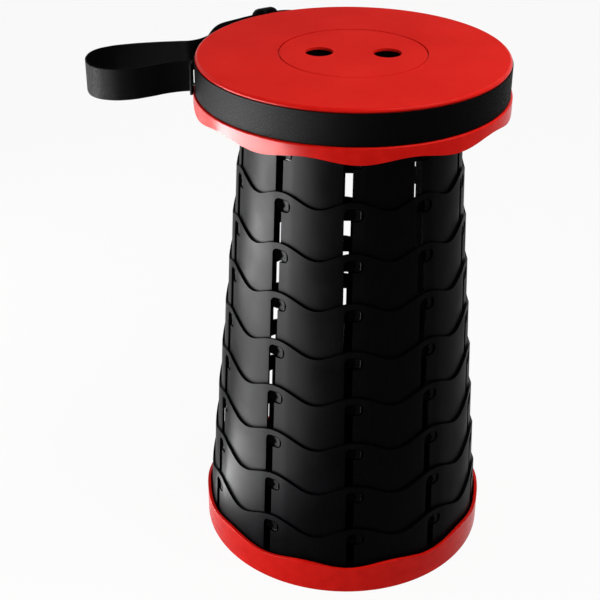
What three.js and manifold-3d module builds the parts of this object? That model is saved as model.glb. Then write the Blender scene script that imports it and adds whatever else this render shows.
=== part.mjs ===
// A collapsible telescopic stool: nine nested plastic rings that hook into each other by lugs
// and J-shaped slots, a red seat with a webbing strap round its rim, and a red base.
// Millimetres, +Z up, origin at the centre of the underside, the front of the stool towards -Y.
import * as THREE from "three";
import { mergeVertices } from "three/addons/utils/BufferGeometryUtils.js";
import Module from "manifold-3d";

const wasm = await Module();
wasm.setup();

// The whole stool
const SEAT_HEIGHT = 450;
const RING_COUNT = 9;
const LOBES = 10; // waves, slots and lugs round each ring
const TWIST_PER_RING = THREE.MathUtils.degToRad(0.6);
const FIRST_TWIST = THREE.MathUtils.degToRad(-0.8);

// Clearances
const JOINT_GAP = 0.32; // between two extended rings, on the radius
const FIT_GAP = 0.3; // between pieces that are fixed to each other
const RUN_GAP = 0.45; // between the seat's wall and the outermost ring when folded
const OVERRUN = 1; // how far a cut runs past the face that it opens
const WEB_GAP = 0.4; // between two layers of webbing

// The rings
const RING_WALL = 1.9;
const TAPER_SHARE = 0.042; // growth of a ring's radius for each unit of depth
const FIRST_RADIUS = 90.4; // outside of the innermost visible ring at its top
const OUTER_CREST = 65; // height of the outermost ring's crests
const OVERLAP = 16; // how far a ring's foot reaches below the next ring's crests
const WAVE_SHARE = 0.088; // height of a wave as a share of the ring's radius
const CREST_SHIFT = THREE.MathUtils.degToRad(2.5); // a crest lies right of its slot
const CREST_SPAN = THREE.MathUtils.degToRad(11); // a crest's level top, and the flat strip below it

// The J-slots and their lugs
const STEM_WIDTH = 7;
const SLOT_TOP = 5.2; // below the crest
const STEM_OVERLAP = 5; // how far a stem runs on below the next ring's crest
const POCKET_REACH = 14.3; // stem's left edge to the pocket's right end
const POCKET_HEIGHT = 11;
const SLOT_CORNER = 5; // rounded top left corner
const LUG_HEIGHT = 9.5;
const LUG_BITE = 1.25; // how far a lug reaches into the wall that it hooks into
const LUG_ROOT = 0.6; // how far a lug is rooted in its own wall

// The outermost ring's foot and the base
const FLOOR = 3;
const FOOT_FLANGE = 2.4;
const FLANGE_REACH = 10;
const BASE_WALL = 2.93;
const BASE_CHAMFER = 1.2;
const EDGE_WAVE = 2.2; // half the height of the waves of the two red edges
const EDGE_PHASE = THREE.MathUtils.degToRad(3);
const BASE_EDGE = 27.9; // mean height of the base's wavy edge
const EDGE_GAP = 0.3; // between skirt and base when folded
const BASE_SCREWS = 5;

// The seat
const SEAT_PLATE = 2.8;
const SEAT_ROUND = 2.5;
const SEAT_LIP = 0.7; // the rim stands out over the strap's wall
const SEAT_WALL = 1.3;
const LEDGE_HEIGHT = 29; // below the seat's top
const SKIRT_WALL = 2;
const HUB_OUTSIDE = 5.6; // hub ring that the centre cap clips into, past its opening
const HUB_DEPTH = 5.4;

// The centre cap
const CAP_RADIUS = 59;
const CAP_LEDGE = 3;
const CAP_THICKNESS = 1.9;
const CAP_PLUG_WALL = 2;
const CLIP_COUNT = 4;
const CLIP_WIDTH = 9;
const CLIP_HOOK = 1.5;
const CLIP_HEIGHT = 1.8;
const FINGER_RADIUS = 11.25;
const FINGER_SPACING = 54.4;
const FINGER_DEPTH = 13;
const FINGER_WALL = 1.7;

// The collar that hangs under the seat, and its screws
const COLLAR_DROP = 3.4; // the line where its crests would be lies this far below the seat's top
const BOSS_LENGTH = 8.3;
const BOSS_RADIUS = 4;
const COLLAR_FLANGE = 2.4;
const COLLAR_FLANGE_REACH = 14.5;
const COLLAR_SCREWS = 6;
const SCREW_RADIUS = 1.25;
const SCREW_HOLE_GAP = 0.35;
const SCREW_HEAD_RADIUS = 3.1;
const SCREW_HEAD = 1.7;
const COLLAR_SCREW_LENGTH = 8.6;
const BASE_SCREW_LENGTH = 3.6;

// The webbing and its slider
const WEB_WIDTH = 25.4;
const WEB_THICKNESS = 1.1;
const SLIDER_STANDOFF = 7.6; // between skirt and slider
const SLIDER_ANGLE = THREE.MathUtils.degToRad(-145.5);
const SLIDER_LENGTH = 26;
const SLIDER_HEIGHT = 33;
const SLIDER_THICKNESS = 2.4;
const SLIDER_BAR = 5; // middle bar
const SLIDER_SIDE = 4; // side bars
const WINDOW_HEIGHT = 26.8;
const WEAVE = 2.3; // how far the webbing steps behind and over the bars
const LOOP_REACH = 83.2; // from the loop's root to its far end
const LOOP_SPREAD = 44; // between the two runs at their widest
const LOOP_ROOT_GAP = 1.8; // the front run's hem stands off the strap
const TACK_SIZE = 1.6;

// The loop's middle line: shares of its reach and of its spread, from the front hem round to the back seam
const LOOP_PATH_SHARES = [
  [0, -0.4],
  [0.09, -0.44],
  [0.21, -0.54],
  [0.38, -0.75],
  [0.56, -0.92],
  [0.74, -0.95],
  [0.89, -0.82],
  [0.98, -0.52],
  [1, -0.23],
  [0.96, 0.07],
  [0.84, 0.3],
  [0.66, 0.46],
  [0.42, 0.59],
  [0.18, 0.68],
  [0.06, 0.73],
];
// The seam on the strap: shares of a half turn from the stool's left side
const SEAM_SHARES = [0.115, 0.145, 0.175, 0.205];
// Where the strap leaves the rim, reaches the slider, leaves it and lies on the rim again: shares of
// the slider's length from its middle
const STANDOFF_SHARES = [-1.7, -0.5, 0.5, 3];

// Facets
const ROUND_STEPS = 50;
const SMALL_STEPS = 8;
const HOLE_STEPS = 16;
const CORNER_STEPS = 2;
const LOOP_STEPS = 36;

// Sizes that follow from the ones above
const FOLDED_DROP = SEAT_HEIGHT - COLLAR_DROP - OUTER_CREST;
const TRAVEL = FOLDED_DROP / RING_COUNT; // how far each ring sinks into the next one
const RING_DEPTH = TRAVEL + OVERLAP; // crest to foot
const STEM_DEPTH = TRAVEL + STEM_OVERLAP; // crest to the stem's end
const RADIAL_STEP = RING_WALL + JOINT_GAP + TAPER_SHARE * TRAVEL;
const LUG_LENGTH = JOINT_GAP + LUG_BITE;
const LUG_WIDTH = STEM_WIDTH - 2 * FIT_GAP;
const LUG_TOP = SLOT_TOP + FIT_GAP + TRAVEL; // below its own ring's crest
const LOBE_ANGLE = (2 * Math.PI) / LOBES;
const FLAT_SHARE = Math.cos(CREST_SPAN / 2);
const LAST_RADIUS = FIRST_RADIUS + (RING_COUNT - 1) * RADIAL_STEP;
const COLLAR_RADIUS = FIRST_RADIUS - RADIAL_STEP;
const COLLAR_CREST = SEAT_HEIGHT - COLLAR_DROP;
const PLATE_UNDERSIDE = SEAT_HEIGHT - SEAT_PLATE;
const LEDGE = SEAT_HEIGHT - LEDGE_HEIGHT;
const SEAT_INSIDE = LAST_RADIUS + TAPER_SHARE * (COLLAR_CREST - LEDGE) + RUN_GAP;
const STRAP_WALL = SEAT_INSIDE + SEAT_WALL;
const SKIRT_EDGE = BASE_EDGE + FOLDED_DROP + EDGE_GAP;
const FLANGE_SEAT = FLOOR + FIT_GAP;
const LAST_DEPTH = OUTER_CREST - FLANGE_SEAT;
const BASE_INSIDE = LAST_RADIUS + TAPER_SHARE * LAST_DEPTH + JOINT_GAP;
const BASE_RADIUS = BASE_INSIDE + BASE_WALL;
const SKIRT_RADIUS = BASE_RADIUS; // their edges meet when the stool is folded
const WEB_LOW = LEDGE + FIT_GAP;
const WEB_MIDDLE = WEB_LOW + WEB_WIDTH / 2;
const STRAP_INSIDE = STRAP_WALL + FIT_GAP;
const STRAP_OUTSIDE = STRAP_INSIDE + WEB_THICKNESS;
const STRAP_MIDDLE = STRAP_INSIDE + WEB_THICKNESS / 2;
const SLIDER_RADIUS = SKIRT_RADIUS + SLIDER_STANDOFF + SLIDER_THICKNESS / 2;
const SLACK = SLIDER_RADIUS - WEAVE - STRAP_MIDDLE; // how far the strap stands off the rim there
const SLIDER_SPAN = SLIDER_LENGTH / SLIDER_RADIUS;
const BOSS_CIRCLE = COLLAR_RADIUS - RING_WALL - COLLAR_FLANGE_REACH / 2;
const COLLAR_FLANGE_TOP = PLATE_UNDERSIDE - BOSS_LENGTH - FIT_GAP;
const BASE_SCREW_CIRCLE = LAST_RADIUS + TAPER_SHARE * LAST_DEPTH - RING_WALL - FLANGE_REACH / 2;

// Material helper: every piece gets one of its own
function finish(color, roughness, metalness = 0) {
  return new THREE.MeshStandardMaterial({ color, roughness, metalness });
}

// A geometry with its corners merged and its empty triangles dropped
function weld(geometry) {
  const bare = geometry.clone();
  bare.deleteAttribute("normal");
  bare.deleteAttribute("uv");
  const merged = mergeVertices(bare, 1e-4);
  const kept = [];
  const index = merged.index.array;
  for (let i = 0; i < index.length; i += 3) {
    const [a, b, c] = [index[i], index[i + 1], index[i + 2]];
    if (a !== b && b !== c && c !== a) {
      kept.push(a, b, c);
    }
  }
  merged.setIndex(kept);
  return merged;
}

function solidOf(geometry) {
  const welded = weld(geometry);
  return new wasm.Manifold(
    new wasm.Mesh({
      numProp: 3,
      vertProperties: new Float32Array(welded.attributes.position.array),
      triVerts: new Uint32Array(welded.index.array),
    }),
  );
}

function geometryOf(solid) {
  const mesh = solid.getMesh();
  const geometry = new THREE.BufferGeometry();
  geometry.setAttribute("position", new THREE.BufferAttribute(mesh.vertProperties.slice(), 3));
  geometry.setIndex(new THREE.BufferAttribute(mesh.triVerts.slice(), 1));
  geometry.computeVertexNormals();
  return geometry;
}

// A point at an angle from the front, counted towards +X
function around(radius, angle) {
  return [radius * Math.sin(angle), -radius * Math.cos(angle)];
}

// A closed ring or disc swept round the axis: at each angle a profile of [radius, height] points,
// which runs down the outside and comes back up the inside or along the axis
function sweep(angles, profileAt) {
  const positions = [];
  const indices = [];
  const profiles = angles.map(profileAt);
  const count = profiles[0].length;
  profiles.forEach((profile, i) => {
    for (const [radius, height] of profile) {
      positions.push(...around(radius, angles[i]), height);
    }
  });
  for (let i = 0; i < angles.length; i += 1) {
    const next = (i + 1) % angles.length;
    for (let j = 0; j < count; j += 1) {
      const below = (j + 1) % count;
      indices.push(i * count + j, i * count + below, next * count + j);
      indices.push(next * count + j, i * count + below, next * count + below);
    }
  }
  const geometry = new THREE.BufferGeometry();
  geometry.setAttribute("position", new THREE.Float32BufferAttribute(positions, 3));
  geometry.setIndex(indices);
  return geometry;
}

const evenAngles = Array.from({ length: ROUND_STEPS }, (_, i) => (i / ROUND_STEPS) * 2 * Math.PI);

// Angles of a ring's stations: both ends of each crest, and each dip
const ringAngles = lobeAngles().flatMap((angle) => {
  const crest = angle + CREST_SHIFT;
  return [crest - CREST_SPAN / 2, crest + CREST_SPAN / 2, crest + LOBE_ANGLE / 2];
});

// An angle counted from the nearest of the places that lie one lobe apart
function offsetFrom(angle, first) {
  const turned = angle - first;
  return turned - Math.round(turned / LOBE_ANGLE) * LOBE_ANGLE;
}

// Depth of a ring's edge at an angle as a share of its wave: 0 on a crest, 1 in a dip
function waveShare(angle) {
  return Math.abs(offsetFrom(angle, CREST_SHIFT)) > LOBE_ANGLE / 4 ? 1 : 0;
}

// An upright prism: an outline of across and up, pushed outwards from one distance to another, at an angle
function outwards(shape, from, to, angle) {
  const geometry = new THREE.ExtrudeGeometry(shape, {
    depth: to - from,
    bevelEnabled: false,
    curveSegments: CORNER_STEPS / 2,
  });
  geometry.rotateX(Math.PI / 2);
  geometry.translate(0, -from, 0);
  geometry.rotateZ(angle);
  return geometry;
}

// A J-slot: a stem with a pocket at its top, heights counted from the crest
function slotOutline() {
  const left = -STEM_WIDTH / 2;
  const right = STEM_WIDTH / 2;
  const end = left + POCKET_REACH;
  const floor = -SLOT_TOP - POCKET_HEIGHT;
  const shape = new THREE.Shape();
  shape.moveTo(left, -STEM_DEPTH);
  shape.lineTo(right, -STEM_DEPTH);
  shape.lineTo(right, floor);
  shape.lineTo(end, floor);
  shape.lineTo(end, -SLOT_TOP);
  shape.lineTo(left + SLOT_CORNER, -SLOT_TOP);
  shape.absarc(left + SLOT_CORNER, -SLOT_TOP - SLOT_CORNER, SLOT_CORNER, Math.PI / 2, Math.PI, false);
  return shape;
}

// A lug fills the top of the stem that it hooks into, less the clearance
function lugOutline() {
  const left = -LUG_WIDTH / 2;
  const right = LUG_WIDTH / 2;
  const corner = SLOT_CORNER - FIT_GAP;
  const shape = new THREE.Shape();
  shape.moveTo(left, -LUG_HEIGHT);
  shape.lineTo(right, -LUG_HEIGHT);
  shape.lineTo(right, 0);
  shape.lineTo(left + corner, 0);
  shape.lineTo(left, -corner);
  return shape;
}

// A lug on a ring whose top has this radius, tilted with its wall
function lug(radius, angle) {
  const face = FLAT_SHARE * (radius + TAPER_SHARE * LUG_TOP);
  const geometry = outwards(lugOutline(), -LUG_ROOT, LUG_LENGTH, 0);
  geometry.rotateX(-Math.atan(FLAT_SHARE * TAPER_SHARE));
  geometry.rotateZ(CREST_SHIFT);
  geometry.translate(...around(face / Math.cos(CREST_SHIFT), 0), -LUG_TOP);
  geometry.rotateZ(angle);
  return geometry;
}

function lobeAngles() {
  return Array.from({ length: LOBES }, (_, i) => i * LOBE_ANGLE);
}

// A tapered tube with wavy upper edge, the crest at height 0
function ringWall(radius, depth, flange) {
  const wave = WAVE_SHARE * radius;
  return sweep(ringAngles, (angle) => {
    const edge = -wave * waveShare(angle);
    const outside = (z) => radius - TAPER_SHARE * z;
    const inside = (z) => outside(z) - RING_WALL;
    const profile = [
      [outside(edge), edge],
      [outside(-depth), -depth],
    ];
    if (flange) {
      const reach = radius + TAPER_SHARE * depth - RING_WALL - FLANGE_REACH;
      profile.push([reach, -depth], [reach, -depth + FOOT_FLANGE]);
      profile.push([inside(-depth + FOOT_FLANGE), -depth + FOOT_FLANGE]);
    } else {
      profile.push([inside(-depth), -depth]);
    }
    profile.push([inside(edge), edge]);
    return profile;
  });
}

function cutAll(solid, cutters) {
  return cutters.reduce((left, cutter) => left.subtract(solidOf(cutter)), solid);
}

function joinAll(solid, pieces) {
  return pieces.reduce((whole, piece) => whole.add(solidOf(piece)), solid);
}

// The angle of a ring's slots, which creep round a little from ring to ring
function twistOf(number) {
  return FIRST_TWIST + (number - 1) * TWIST_PER_RING;
}

// One visible ring, numbered from the innermost
function ring(number) {
  const radius = FIRST_RADIUS + (number - 1) * RADIAL_STEP;
  const last = number === RING_COUNT;
  let solid = solidOf(ringWall(radius, last ? LAST_DEPTH : RING_DEPTH, last));
  const wallIn = radius - RING_WALL - OVERRUN - wallSag(radius);
  const wallOut = radius + TAPER_SHARE * RING_DEPTH + OVERRUN;
  solid = cutAll(solid, lobeAngles().map((angle) => outwards(slotOutline(), wallIn, wallOut, angle)));
  if (last) {
    const places = screwAngles(BASE_SCREWS);
    solid = cutAll(solid, screwCircle(places, BASE_SCREW_CIRCLE, -LAST_DEPTH, FOOT_FLANGE));
  } else {
    solid = joinAll(solid, lobeAngles().map((angle) => lug(radius, angle + TWIST_PER_RING)));
  }
  return geometryOf(solid);
}

// How far a flat strip's inside lies within the ring's radius
function wallSag(radius) {
  return radius * (1 - FLAT_SHARE);
}

// Upright cylinders for screw holes on a circle, from a height upwards
function screwCircle(angles, circle, low, height) {
  return angles.map((angle) => {
    const hole = new THREE.CylinderGeometry(
      SCREW_RADIUS + SCREW_HOLE_GAP,
      SCREW_RADIUS + SCREW_HOLE_GAP,
      height + 2 * OVERRUN,
      SMALL_STEPS,
    );
    hole.rotateX(Math.PI / 2);
    hole.translate(...around(circle, angle), low + height / 2);
    return hole;
  });
}

// Screws start halfway between two slots; turned with the ring that they hold
function screwAngles(count, turn = 0) {
  return Array.from({ length: count }, (_, i) => turn + LOBE_ANGLE / 2 + (i * 2 * Math.PI) / count);
}

// A pan-head screw with its head's underside at height 0 and its shank pointing up
function screw(length) {
  const profile = [
    [0, -SCREW_HEAD],
    [SCREW_HEAD_RADIUS, -SCREW_HEAD],
    [SCREW_HEAD_RADIUS, 0],
    [SCREW_RADIUS, 0],
    [SCREW_RADIUS, length - SCREW_RADIUS],
    [0, length],
  ];
  const points = profile.map(([x, y]) => new THREE.Vector2(x, y));
  const geometry = new THREE.LatheGeometry(points, SMALL_STEPS);
  geometry.rotateX(Math.PI / 2);
  return geometryOf(solidOf(geometry));
}

// The innermost tube, which hangs under the seat and hooks into the first ring
function collar() {
  const top = PLATE_UNDERSIDE - FIT_GAP - COLLAR_CREST;
  const flangeTop = COLLAR_FLANGE_TOP - COLLAR_CREST;
  const flangeLow = flangeTop - COLLAR_FLANGE;
  const reach = COLLAR_RADIUS - RING_WALL - COLLAR_FLANGE_REACH;
  const outside = (z) => COLLAR_RADIUS - TAPER_SHARE * z;
  const inside = (z) => outside(z) - RING_WALL;
  const wall = sweep(ringAngles, () => {
    return [
      [outside(top), top],
      [outside(-RING_DEPTH), -RING_DEPTH],
      [inside(-RING_DEPTH), -RING_DEPTH],
      [inside(flangeLow), flangeLow],
      [reach, flangeLow],
      [reach, flangeTop],
      [inside(flangeTop), flangeTop],
      [inside(top), top],
    ];
  });
  let solid = solidOf(wall);
  solid = joinAll(solid, lobeAngles().map((angle) => lug(COLLAR_RADIUS, angle + TWIST_PER_RING)));
  solid = cutAll(solid, screwCircle(screwAngles(COLLAR_SCREWS), BOSS_CIRCLE, flangeLow, COLLAR_FLANGE));
  return geometryOf(solid);
}

function wavyEdge(mean, angle) {
  return mean - EDGE_WAVE * Math.cos(LOBES * (angle - EDGE_PHASE));
}

// The seat: a plate with a rounded rim, the strap's wall, a ledge and the lobed skirt
function seatShell() {
  const opening = CAP_RADIUS + FIT_GAP;
  const rim = STRAP_WALL + SEAT_LIP;
  const shelf = SEAT_HEIGHT - CAP_THICKNESS - FIT_GAP;
  const inner = opening - CAP_LEDGE;
  const hub = opening + HUB_OUTSIDE;
  const hubLow = SEAT_HEIGHT - HUB_DEPTH;
  const round = [];
  for (let i = 0; i <= CORNER_STEPS; i += 1) {
    const turn = ((i / CORNER_STEPS) * Math.PI) / 2;
    round.push([
      rim - SEAT_ROUND * (1 - Math.sin(turn)),
      SEAT_HEIGHT - SEAT_ROUND * (1 - Math.cos(turn)),
    ]);
  }
  const shell = sweep(evenAngles, (angle) => {
    const edge = wavyEdge(SKIRT_EDGE, angle);
    return [
      [opening, SEAT_HEIGHT],
      ...round,
      [STRAP_WALL, SEAT_HEIGHT - SEAT_ROUND],
      [STRAP_WALL, LEDGE],
      [SKIRT_RADIUS - BASE_CHAMFER, LEDGE],
      [SKIRT_RADIUS, LEDGE - BASE_CHAMFER],
      [SKIRT_RADIUS, edge],
      [SKIRT_RADIUS - SKIRT_WALL, edge],
      [SKIRT_RADIUS - SKIRT_WALL, LEDGE - SKIRT_WALL],
      [SEAT_INSIDE, LEDGE - SKIRT_WALL],
      [SEAT_INSIDE, PLATE_UNDERSIDE],
      [hub, PLATE_UNDERSIDE],
      [hub, hubLow],
      [inner, hubLow],
      [inner, shelf],
      [opening, shelf],
    ];
  });
  const places = screwAngles(COLLAR_SCREWS, twistOf(0));
  const bossHeight = BOSS_LENGTH + SEAT_PLATE / 2;
  const bosses = places.map((angle) => {
    const boss = new THREE.CylinderGeometry(BOSS_RADIUS, BOSS_RADIUS, bossHeight, SMALL_STEPS);
    boss.rotateX(Math.PI / 2);
    boss.translate(...around(BOSS_CIRCLE, angle), PLATE_UNDERSIDE - BOSS_LENGTH + bossHeight / 2);
    return boss;
  });
  let solid = joinAll(solidOf(shell), bosses);
  const holeDepth = BOSS_LENGTH - OVERRUN;
  const holes = screwCircle(places, BOSS_CIRCLE, PLATE_UNDERSIDE - BOSS_LENGTH - OVERRUN, holeDepth);
  solid = cutAll(solid, holes);
  return geometryOf(solid);
}

// The centre cap: a disc that clips into the hub, with two finger holes and their sleeves
function centreCap() {
  const plugRadius = CAP_RADIUS - CAP_LEDGE;
  const plugLow = SEAT_HEIGHT - HUB_DEPTH - FIT_GAP - CLIP_HEIGHT;
  const discLow = SEAT_HEIGHT - CAP_THICKNESS;
  const disc = sweep(evenAngles, () => [
    [0, SEAT_HEIGHT],
    [CAP_RADIUS, SEAT_HEIGHT],
    [CAP_RADIUS, discLow],
    [plugRadius, discLow],
    [plugRadius, plugLow],
    [plugRadius - CAP_PLUG_WALL, plugLow],
    [plugRadius - CAP_PLUG_WALL, discLow],
    [0, discLow],
  ]);
  const clips = [];
  for (let i = 0; i < CLIP_COUNT; i += 1) {
    const clip = new THREE.BoxGeometry(CLIP_WIDTH, CLIP_HOOK + CAP_PLUG_WALL, CLIP_HEIGHT);
    clip.translate(0, -plugRadius + (CAP_PLUG_WALL - CLIP_HOOK) / 2, plugLow + CLIP_HEIGHT / 2);
    clip.rotateZ(((i + 0.5) * 2 * Math.PI) / CLIP_COUNT);
    clips.push(clip);
  }
  const sleeves = [];
  const holes = [];
  for (const side of [-1, 1]) {
    const sleeve = new THREE.CylinderGeometry(
      FINGER_RADIUS + FINGER_WALL,
      FINGER_RADIUS + FINGER_WALL,
      FINGER_DEPTH - CAP_THICKNESS / 2,
      HOLE_STEPS,
    );
    sleeve.rotateX(Math.PI / 2);
    sleeve.translate((side * FINGER_SPACING) / 2, 0, SEAT_HEIGHT - (FINGER_DEPTH + CAP_THICKNESS / 2) / 2);
    sleeves.push(sleeve);
    const hole = new THREE.CylinderGeometry(
      FINGER_RADIUS,
      FINGER_RADIUS,
      FINGER_DEPTH + 2 * OVERRUN,
      HOLE_STEPS,
    );
    hole.rotateX(Math.PI / 2);
    hole.translate((side * FINGER_SPACING) / 2, 0, SEAT_HEIGHT - FINGER_DEPTH / 2);
    holes.push(hole);
  }
  return geometryOf(cutAll(joinAll(solidOf(disc), [...clips, ...sleeves]), holes));
}

// The base: a floor, and a wall whose wavy edge meets the skirt when the stool is folded
function baseCup() {
  const cup = sweep(evenAngles, (angle) => {
    const edge = wavyEdge(BASE_EDGE, angle);
    return [
      [BASE_RADIUS, edge],
      [BASE_RADIUS, BASE_CHAMFER],
      [BASE_RADIUS - BASE_CHAMFER, 0],
      [0, 0],
      [0, FLOOR],
      [BASE_INSIDE, FLOOR],
      [BASE_INSIDE, edge],
    ];
  });
  const places = screwAngles(BASE_SCREWS, twistOf(RING_COUNT));
  const recesses = places.map((angle) => {
    const depth = SCREW_HEAD + 2 * FIT_GAP;
    const recess = new THREE.CylinderGeometry(
      SCREW_HEAD_RADIUS + FIT_GAP,
      SCREW_HEAD_RADIUS + FIT_GAP,
      depth + OVERRUN,
      SMALL_STEPS,
    );
    recess.rotateX(Math.PI / 2);
    recess.translate(...around(BASE_SCREW_CIRCLE, angle), (depth - OVERRUN) / 2);
    return recess;
  });
  const holes = screwCircle(places, BASE_SCREW_CIRCLE, 0, FLOOR);
  return geometryOf(cutAll(solidOf(cup), [...holes, ...recesses]));
}

// How far the strap stands off the rim at an angle, as a share of its slack
function slackShare(angle) {
  const [leave, reach, part, rest] = STANDOFF_SHARES.map((share) => SLIDER_ANGLE + share * SLIDER_SPAN);
  return THREE.MathUtils.smoothstep(angle, leave, reach) - THREE.MathUtils.smoothstep(angle, part, rest);
}

// The middle of the strap's thickness at an angle, away from the slider
function strapRadius(angle) {
  return STRAP_MIDDLE + SLACK * slackShare(angle);
}

// The strap round the rim: it steps behind the slider's side bars and over its middle bar
function rimStrap() {
  const bar = SLIDER_BAR / SLIDER_RADIUS / 2;
  const side = SLIDER_SPAN / 2 - SLIDER_SIDE / SLIDER_RADIUS;
  const stations = [];
  for (const angle of evenAngles) {
    const turned = angle > Math.PI ? angle - 2 * Math.PI : angle;
    if (Math.abs(turned - SLIDER_ANGLE) > SLIDER_SPAN / 2) {
      stations.push([turned, strapRadius(turned)]);
    }
  }
  const behind = SLIDER_RADIUS - WEAVE;
  const over = SLIDER_RADIUS + WEAVE;
  for (const [offset, radius] of [
    [-SLIDER_SPAN / 2, behind],
    [-side, behind],
    [-bar, over],
    [bar, over],
    [side, behind],
    [SLIDER_SPAN / 2, behind],
  ]) {
    stations.push([SLIDER_ANGLE + offset, radius]);
  }
  stations.sort((one, other) => one[0] - other[0]);
  const radii = new Map(stations);
  return sweep(stations.map(([angle]) => angle), (angle) => {
    const outside = radii.get(angle) + WEB_THICKNESS / 2;
    const inside = radii.get(angle) - WEB_THICKNESS / 2;
    return [
      [outside, WEB_LOW + WEB_WIDTH],
      [outside, WEB_LOW],
      [inside, WEB_LOW],
      [inside, WEB_LOW + WEB_WIDTH],
    ];
  });
}

// The slider: a curved plate with two windows
function strapSlider() {
  const half = SLIDER_SPAN / 2;
  const low = SLIDER_RADIUS - SLIDER_THICKNESS / 2;
  const high = SLIDER_RADIUS + SLIDER_THICKNESS / 2;
  const shape = new THREE.Shape();
  shape.absarc(0, 0, high, -half, half, false);
  shape.absarc(0, 0, low, half, -half, true);
  const plate = new THREE.ExtrudeGeometry(shape, {
    depth: SLIDER_HEIGHT,
    bevelEnabled: false,
    curveSegments: SMALL_STEPS / 2,
  });
  plate.translate(0, 0, WEB_MIDDLE - SLIDER_HEIGHT / 2);
  plate.rotateZ(-Math.PI / 2 + SLIDER_ANGLE);
  const window = (SLIDER_LENGTH - SLIDER_BAR - 2 * SLIDER_SIDE) / 2;
  const windows = [-1, 1].map((side) => {
    const hole = new THREE.BoxGeometry(window, SLIDER_THICKNESS + 2 * OVERRUN, WINDOW_HEIGHT);
    hole.translate(0, -SLIDER_RADIUS, WEB_MIDDLE);
    hole.rotateZ(SLIDER_ANGLE + (side * (SLIDER_BAR + window)) / 2 / SLIDER_RADIUS);
    return hole;
  });
  return geometryOf(cutAll(solidOf(plate), windows));
}

// The carry loop: a band of webbing on edge, hemmed at the front and sewn flat on the strap at the back
function carryLoop() {
  const root = STRAP_OUTSIDE + LOOP_ROOT_GAP;
  const points = LOOP_PATH_SHARES.map(
    ([out, along]) => new THREE.Vector3(-root - out * LOOP_REACH, along * LOOP_SPREAD, 0),
  );
  for (const share of SEAM_SHARES) {
    const angle = -Math.PI / 2 - share * Math.PI;
    points.push(new THREE.Vector3(...around(strapRadius(angle) + WEB_THICKNESS + WEB_GAP, angle), 0));
  }
  const curve = new THREE.CatmullRomCurve3(points, false, "centripetal");
  const nearSide = [];
  const farSide = [];
  for (let i = 0; i <= LOOP_STEPS; i += 1) {
    const point = curve.getPointAt(i / LOOP_STEPS);
    const along = curve.getTangentAt(i / LOOP_STEPS);
    const across = new THREE.Vector2(-along.y, along.x).multiplyScalar(WEB_THICKNESS / 2);
    nearSide.push(new THREE.Vector2(point.x + across.x, point.y + across.y));
    farSide.unshift(new THREE.Vector2(point.x - across.x, point.y - across.y));
  }
  const shape = new THREE.Shape([...nearSide, ...farSide]);
  const band = new THREE.ExtrudeGeometry(shape, { depth: WEB_WIDTH, bevelEnabled: false });
  band.translate(0, 0, WEB_LOW);
  const hem = LOOP_PATH_SHARES[0][1] * LOOP_SPREAD;
  const reached = Math.sqrt(STRAP_OUTSIDE ** 2 - hem ** 2) + WEB_GAP;
  const length = root + WEB_THICKNESS - reached;
  const tacks = [1, 2].map((row) => {
    const tack = new THREE.BoxGeometry(length, TACK_SIZE, TACK_SIZE);
    tack.translate(-reached - length / 2, hem, WEB_LOW + (row * WEB_WIDTH) / 3);
    return tack;
  });
  return geometryOf(joinAll(solidOf(band), tacks));
}

function place(group, name, geometry, material, height, turn) {
  const mesh = new THREE.Mesh(geometry, material);
  mesh.name = name;
  mesh.position.z = height;
  mesh.rotation.z = turn;
  group.add(mesh);
}

// A screw of a length in each of these places on a circle, its head's underside at a height
function placeScrews(group, name, angles, circle, height, length) {
  angles.forEach((angle, i) => {
    const geometry = screw(length).translate(...around(circle, angle), 0);
    place(group, `${name}_${i + 1}`, geometry, finish(0x9a9a9c, 0.35, 1), height, 0);
  });
}

const stool = new THREE.Group();

const seat = new THREE.Group();
place(seat, "seat_shell", seatShell(), finish(0xd8302a, 0.5), 0, 0);
place(seat, "centre_cap", centreCap(), finish(0xc92a24, 0.55), 0, 0);
place(seat, "seat_collar", collar(), finish(0x1c1b1e, 0.45), COLLAR_CREST, twistOf(0));
place(seat, "rim_strap", geometryOf(solidOf(rimStrap())), finish(0x1d1d1f, 0.9), 0, 0);
place(seat, "carry_loop", carryLoop(), finish(0x1d1d1f, 0.9), 0, 0);
place(seat, "strap_slider", strapSlider(), finish(0x141416, 0.25), 0, 0);
const collarScrewSeat = COLLAR_FLANGE_TOP - COLLAR_FLANGE - FIT_GAP;
const collarPlaces = screwAngles(COLLAR_SCREWS, twistOf(0));
placeScrews(seat, "collar_screw", collarPlaces, BOSS_CIRCLE, collarScrewSeat, COLLAR_SCREW_LENGTH);
stool.add(seat);

const column = new THREE.Group();
for (let number = 1; number <= RING_COUNT; number += 1) {
  const height = OUTER_CREST + (RING_COUNT - number) * TRAVEL;
  place(column, `ring_${number}`, ring(number), finish(0x1c1b1e, 0.45), height, twistOf(number));
}
stool.add(column);

const base = new THREE.Group();
place(base, "base_cup", baseCup(), finish(0xd8302a, 0.4), 0, 0);
const basePlaces = screwAngles(BASE_SCREWS, twistOf(RING_COUNT));
placeScrews(base, "base_screw", basePlaces, BASE_SCREW_CIRCLE, SCREW_HEAD + FIT_GAP, BASE_SCREW_LENGTH);
stool.add(base);

export default stool;
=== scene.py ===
# %% [markdown]
# This lesson builds a collapsible stool. Its column is a stack of plastic rings that hook into each
# other, and folded they sink into the shallow red base under the seat.
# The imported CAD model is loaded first. It fixes where each piece is and what it moves with. Finer
# pieces are then modelled over it, in metres and in the same place.

import math

import bmesh
import bpy
from mathutils import Matrix, Vector


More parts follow.
